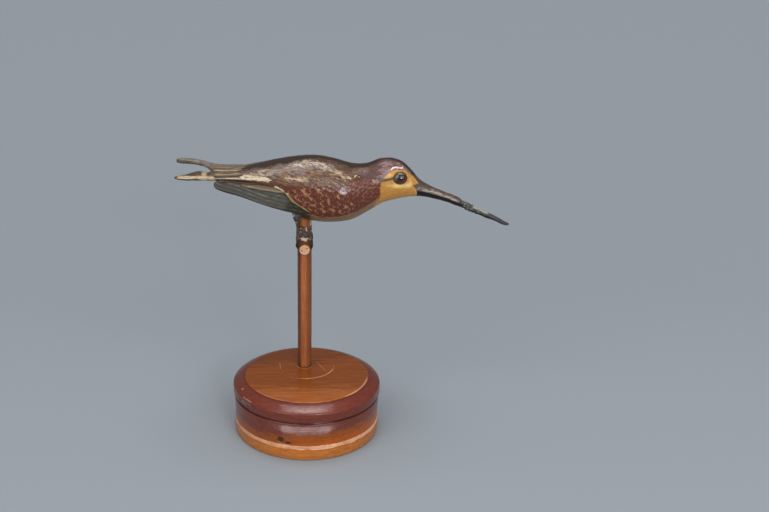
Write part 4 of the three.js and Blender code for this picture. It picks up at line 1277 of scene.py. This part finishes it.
def paint_bill(paint):
    points = paint.points
    x, _, z = points.T
    roll = roll_of(points)
    gape = border(x, GAPE_LINE)
    from_crack = crack_distance(points)
    streak = noise(points, (3.5, 0.5, 0.5), 104)
    paint.lay("bill_top", ramp(roll + 12 * streak, 25, 55))
    line = between(roll + 5 * streak, gape + 6, gape + 30, 6) * between(x, 47.5, 66, 1.5)
    glare = between(roll, 25, 60, 8) * between(x, 53, 64, 2) * ramp(streak, -0.3, 0.3)
    paint.lay("bill_sheen", line * (0.55 + 0.5 * streak) + 0.4 * glare)
    paint.lay("bill_low", ramp(roll, gape + 3, gape - 5))
    paint.lay("bill_outer", ramp(from_crack, -0.1, 0.3) * ramp(roll + 10 * streak, -40, -10) * 0.85)
    paint.lay("bill_crack", spot(from_crack / 0.4) + 0.5 * spot((from_crack - 1.6) / 0.5))
    chip = between(x + 0.4 * streak, 72.6, 79.6, 0.6) * ramp(roll + 20 * noise(points, 0.7, 105), -10, 20)
    paint.lay("bill_chip", chip * (0.7 + 0.3 * streak))
    paint.lay("bill_tip", ramp(x + 1.5 * streak, 80, 84) * 0.8)
    ridges = between(from_crack, 0.3, 6.4, 0.4) * ramp(noise(points, (1.0, 0.3, 0.3), 107), -0.1, 0.4)
    paint.lay("bill_grey", 0.5 * ridges)
    onto_root = border(z, FACE_FRONT) - x + 0.12 * noise(points, 0.7, 108)
    paint.lay("bill_face", ramp(onto_root, -0.12, 0.12))


# The glass eyes.
def eye(name, side):
    """A flattened glass dome with a dark pupil, a brown ring and a painted sheen in olive-grey at its upper
    left.
    """
    turns = circle(EYE_SIDES)
    polar = np.linspace(0.02, math.pi - 0.02, EYE_RINGS)[:, None]
    x = EYE_RADIUS * np.sin(polar) * np.cos(turns)
    up = EYE_RADIUS * EYE_SQUINT * np.sin(polar) * np.sin(turns)
    out = EYE_RADIUS * EYE_FLATTEN * np.cos(polar)
    tilt = math.radians(EYE_TILT)
    y = side * (out * math.cos(tilt) - up * math.sin(tilt))
    z = out * math.sin(tilt) + up * math.cos(tilt)
    middle = np.array(EYE_PLACE) * (1, side, 1)
    piece = loft(name, np.stack([x, y, z], -1) + middle)
    paint = Paint(piece)
    x, y, z = (paint.points - middle).T
    above = (z * math.cos(tilt) - side * y * math.sin(tilt)) / EYE_SQUINT
    from_pupil = np.hypot(x - 0.35, above + 0.25) / EYE_RADIUS
    paint.lay("iris", ramp(from_pupil, 0.3, 0.7))
    # A painted sheen in olive-grey on the upper left.
    paint.lay("iris_sheen", ramp(from_pupil, 0.5, 0.7) * ramp(above - 0.9 * x, -0.9, 1.2))
    paint.lay("iris_red", ramp(from_pupil, 0.35, 0.6) * ramp(x - 0.8 * above, 0.7, 2.0))
    paint.lay("iris_dark", ramp(np.hypot(x, above) / EYE_RADIUS, 0.8, 0.95))
    coats = dict(iris=(60, 42, 34), iris_sheen=(92, 86, 74), iris_red=(96, 44, 12), iris_dark=(30, 26, 20))
    finish = painted("eye_glass_" + name, (40, 24, 26), coats, edge=(0.5, 0.5, 0.5), tint=(0.8, 0.8, 0.8),
                     gloss=(0.1, 0.13), varnish=0.8, bump=0.0)
    finish.node_tree.nodes["Principled BSDF"].inputs["Coat Roughness"].default_value = GLASS_ROUGHNESS
    install(piece, finish, name)


# The moulded legs and feet.
def foot_pad():
    """The lumpy pad that wraps the near side of the post above the peg."""
    low, high = PAD_HEIGHTS
    up = np.linspace(0, 1, PAD_ROWS)[:, None]
    turns = np.radians(np.linspace(*PAD_ANGLES, PAD_STEPS))
    ends = np.sqrt(np.clip(np.sin(np.linspace(0, math.pi, PAD_STEPS)), 0, 1))
    ragged_low = low + 0.5 * np.sin(5 * turns) + 0.3 * np.sin(11 * turns + 1)
    ragged_high = high + 0.6 * np.sin(4 * turns + 2) + 0.35 * np.sin(9 * turns)
    z = ragged_low + (ragged_high - ragged_low) * up

    def wall(radius):
        return np.stack([radius * np.cos(turns) + 0 * z, radius * np.sin(turns) + 0 * z, z], -1)

    flat = wall(4).reshape(-1, 3)
    lumps = (0.5 * noise(flat, 1.1, 111) + 0.35 * noise(flat, 0.55, 112)).reshape(z.shape)
    swell = np.sin(np.clip(up, 0.04, 0.96) * math.pi) ** 0.4
    outer = wall(POST_RADIUS + 0.1 + (0.62 + 0.42 * lumps) * swell * (0.25 + 0.75 * ends))
    inner = wall(POST_RADIUS - 0.1)[:, ::-1]
    return loft("pad", np.concatenate([outer, inner], axis=1) + (POST_X, 0, 0))


def foot(name, side):
    piece = tube(name, LEG_LINE, (0.62, 0.55, 0.5, 0.62), 70, 26, 0.22, 113)
    parts = [foot_pad()]
    for line, seed in ((HIND_TOE_LINE, 114), (FRONT_TOE_LINE, 115)):
        parts.append(tube("toe", line, (0.62, 0.7, 0.52, 0.6, 0.22), 60, 24, 0.25, seed))
    for part in parts:
        combine(piece, part, "UNION")
    if side == LEFT:
        piece.data.transform(Matrix.Scale(-1, 4, (0, 1, 0)))
        piece.data.flip_normals()
    paint_foot(Paint(piece))
    coats = dict(
        pad_brown=(106, 74, 56), pad_white=(190, 178, 164), pad_rim=(214, 206, 192),
        toe_dark=(44, 40, 38), leg_pale_and_glint=(206, 200, 192),
    )
    finish = painted("foot_paint_" + name, (82, 66, 57), coats, edge=(0.22, 0.22, 0.22), gloss=(0.34, 0.55),
                     varnish=0.2, tint=(0.8, 0.8, 0.8), bump=0.05, bump_size=(0.25, 0.25, 0.25))
    install(piece, finish, name)


def paint_foot(paint):
    points = paint.points
    x, y, z = points.T
    blotch = noise(points, 0.75, 116)
    on_pad = between(x, -3.6, 2.6, 0.4) * between(z, 92.8, 99.8, 0.5)
    paint.lay("pad_brown", on_pad * ramp(noise(points, 1.4, 117), -0.2, 0.3) * 0.7)
    paint.lay("pad_white", 0.7 * on_pad * ramp(blotch + 0.25 * ramp(x, 0, -3), 0.3, 0.85))
    rim = between(z, 92.6, 94.6, 0.35) * between(x, -3.2, 1.6, 0.4) * (np.abs(y) > 2.2)
    paint.lay("pad_rim", rim * ramp(noise(points, 0.9, 118), -0.6, 0.0))
    paint.lay("toe_dark", ramp(z, 94.4, 93.6) * (1 - 0.8 * rim))
    # A painted glint across the leg, with pale blotches higher up.
    glint = spot((z - 106.0) / 1.1) * ramp(x, -6.2, -5.4)
    paint.lay("leg_pale_and_glint", 0.9 * glint + 0.6 * ramp(blotch, -0.1, 0.5) * ramp(z, 99, 101))


# The floor, the lights and the camera, in metres and degrees.
FLOOR_SIZE = 12
LIT_PLACE = (0, 0, 0.09)


def plain_floor():
    bpy.ops.mesh.primitive_plane_add(size=FLOOR_SIZE, location=(0, 0, 0))
    floor = bpy.context.object
    floor.name = "floor"
    material = bpy.data.materials.new("floor")
    material.use_nodes = True
    shader = material.node_tree.nodes["Principled BSDF"]
    place, split = add_node(material, "TexCoord"), add_node(material, "SeparateXYZ")
    wire(material, place.outputs["Object"], split.inputs["Vector"])
    # The floor's colour darkens a little towards the back, as a painted light falloff.
    back = remapped(material, split.outputs["Y"], -0.08, 0.16, 0, 1)
    colour = mixed(material, back, srgb(157, 164, 171), srgb(149, 156, 163))
    wire(material, colour, shader.inputs["Base Color"])
    shader.inputs["Roughness"].default_value = 0.85
    shader.inputs["Specular IOR Level"].default_value = 0.2
    floor.data.materials.append(material)


def aimed(name, light, from_right, elevation, distance):
    """Sets a light at some degrees right of the camera's side and above the floor, aimed at the bird."""
    azimuth, rise = math.radians(from_right), math.radians(elevation)
    holder = bpy.data.objects.new(name, light)
    out = (math.sin(azimuth) * math.cos(rise), -math.cos(azimuth) * math.cos(rise), math.sin(rise))
    holder.location = [distance * part + middle for part, middle in zip(out, LIT_PLACE)]
    holder.rotation_euler = (math.pi / 2 - rise, 0, azimuth)
    bpy.context.scene.collection.objects.link(holder)


def wide_light(name, from_right, elevation, strength, width):
    """A wide, even light like a large diffuser, as many degrees across as its width."""
    light = bpy.data.lights.new(name, "SUN")
    light.energy = strength
    light.angle = math.radians(width)
    aimed(name, light, from_right, elevation, 2)


def lamp(name, from_right, elevation, power, size):
    light = bpy.data.lights.new(name, "AREA")
    light.shape = "SQUARE"
    light.size = size
    light.energy = power
    aimed(name, light, from_right, elevation, 1.5)


def studio():
    plain_floor()
    wide_light("overhead", 0, 97, 1.1, 36)
    wide_light("top", 0, 62, 0.3, 100)
    wide_light("right", 24, 30, 1.05, 40)
    wide_light("left", -38, 36, 0.9, 44)
    lamp("glint", 17, 21, 3.0, 0.17)
    world = bpy.data.worlds.new("studio")
    world.use_nodes = True
    sky = world.node_tree.nodes["Background"]
    sky.inputs["Color"].default_value = srgb(225, 228, 232)
    sky.inputs["Strength"].default_value = 0.22
    bpy.context.scene.world = world
    bpy.context.scene.view_settings.view_transform = "Standard"


def camera():
    lens = bpy.data.cameras.new("camera")
    lens.sensor_width = SENSOR_WIDTH
    lens.lens = FOCAL_PIXELS / PHOTO_WIDTH * SENSOR_WIDTH
    lens.shift_x = (PHOTO_WIDTH / 2 - PRINCIPAL_PIXEL) / PHOTO_WIDTH
    lens.clip_start = 0.01
    holder = bpy.data.objects.new("camera", lens)
    holder.location = [value * MM for value in CAMERA_PLACE]
    holder.rotation_euler = (math.radians(90 - CAMERA_PITCH), 0, 0)
    bpy.context.scene.collection.objects.link(holder)
    bpy.context.scene.camera = holder


studio()
camera()
turned_base()
post()
perch_peg()
carved_body()
wing("right_wing", RIGHT, 93)
wing("left_wing", LEFT, 94)
bill()
eye("right_eye", RIGHT)
eye("left_eye", LEFT)
foot("right_foot", RIGHT)
foot("left_foot", LEFT)
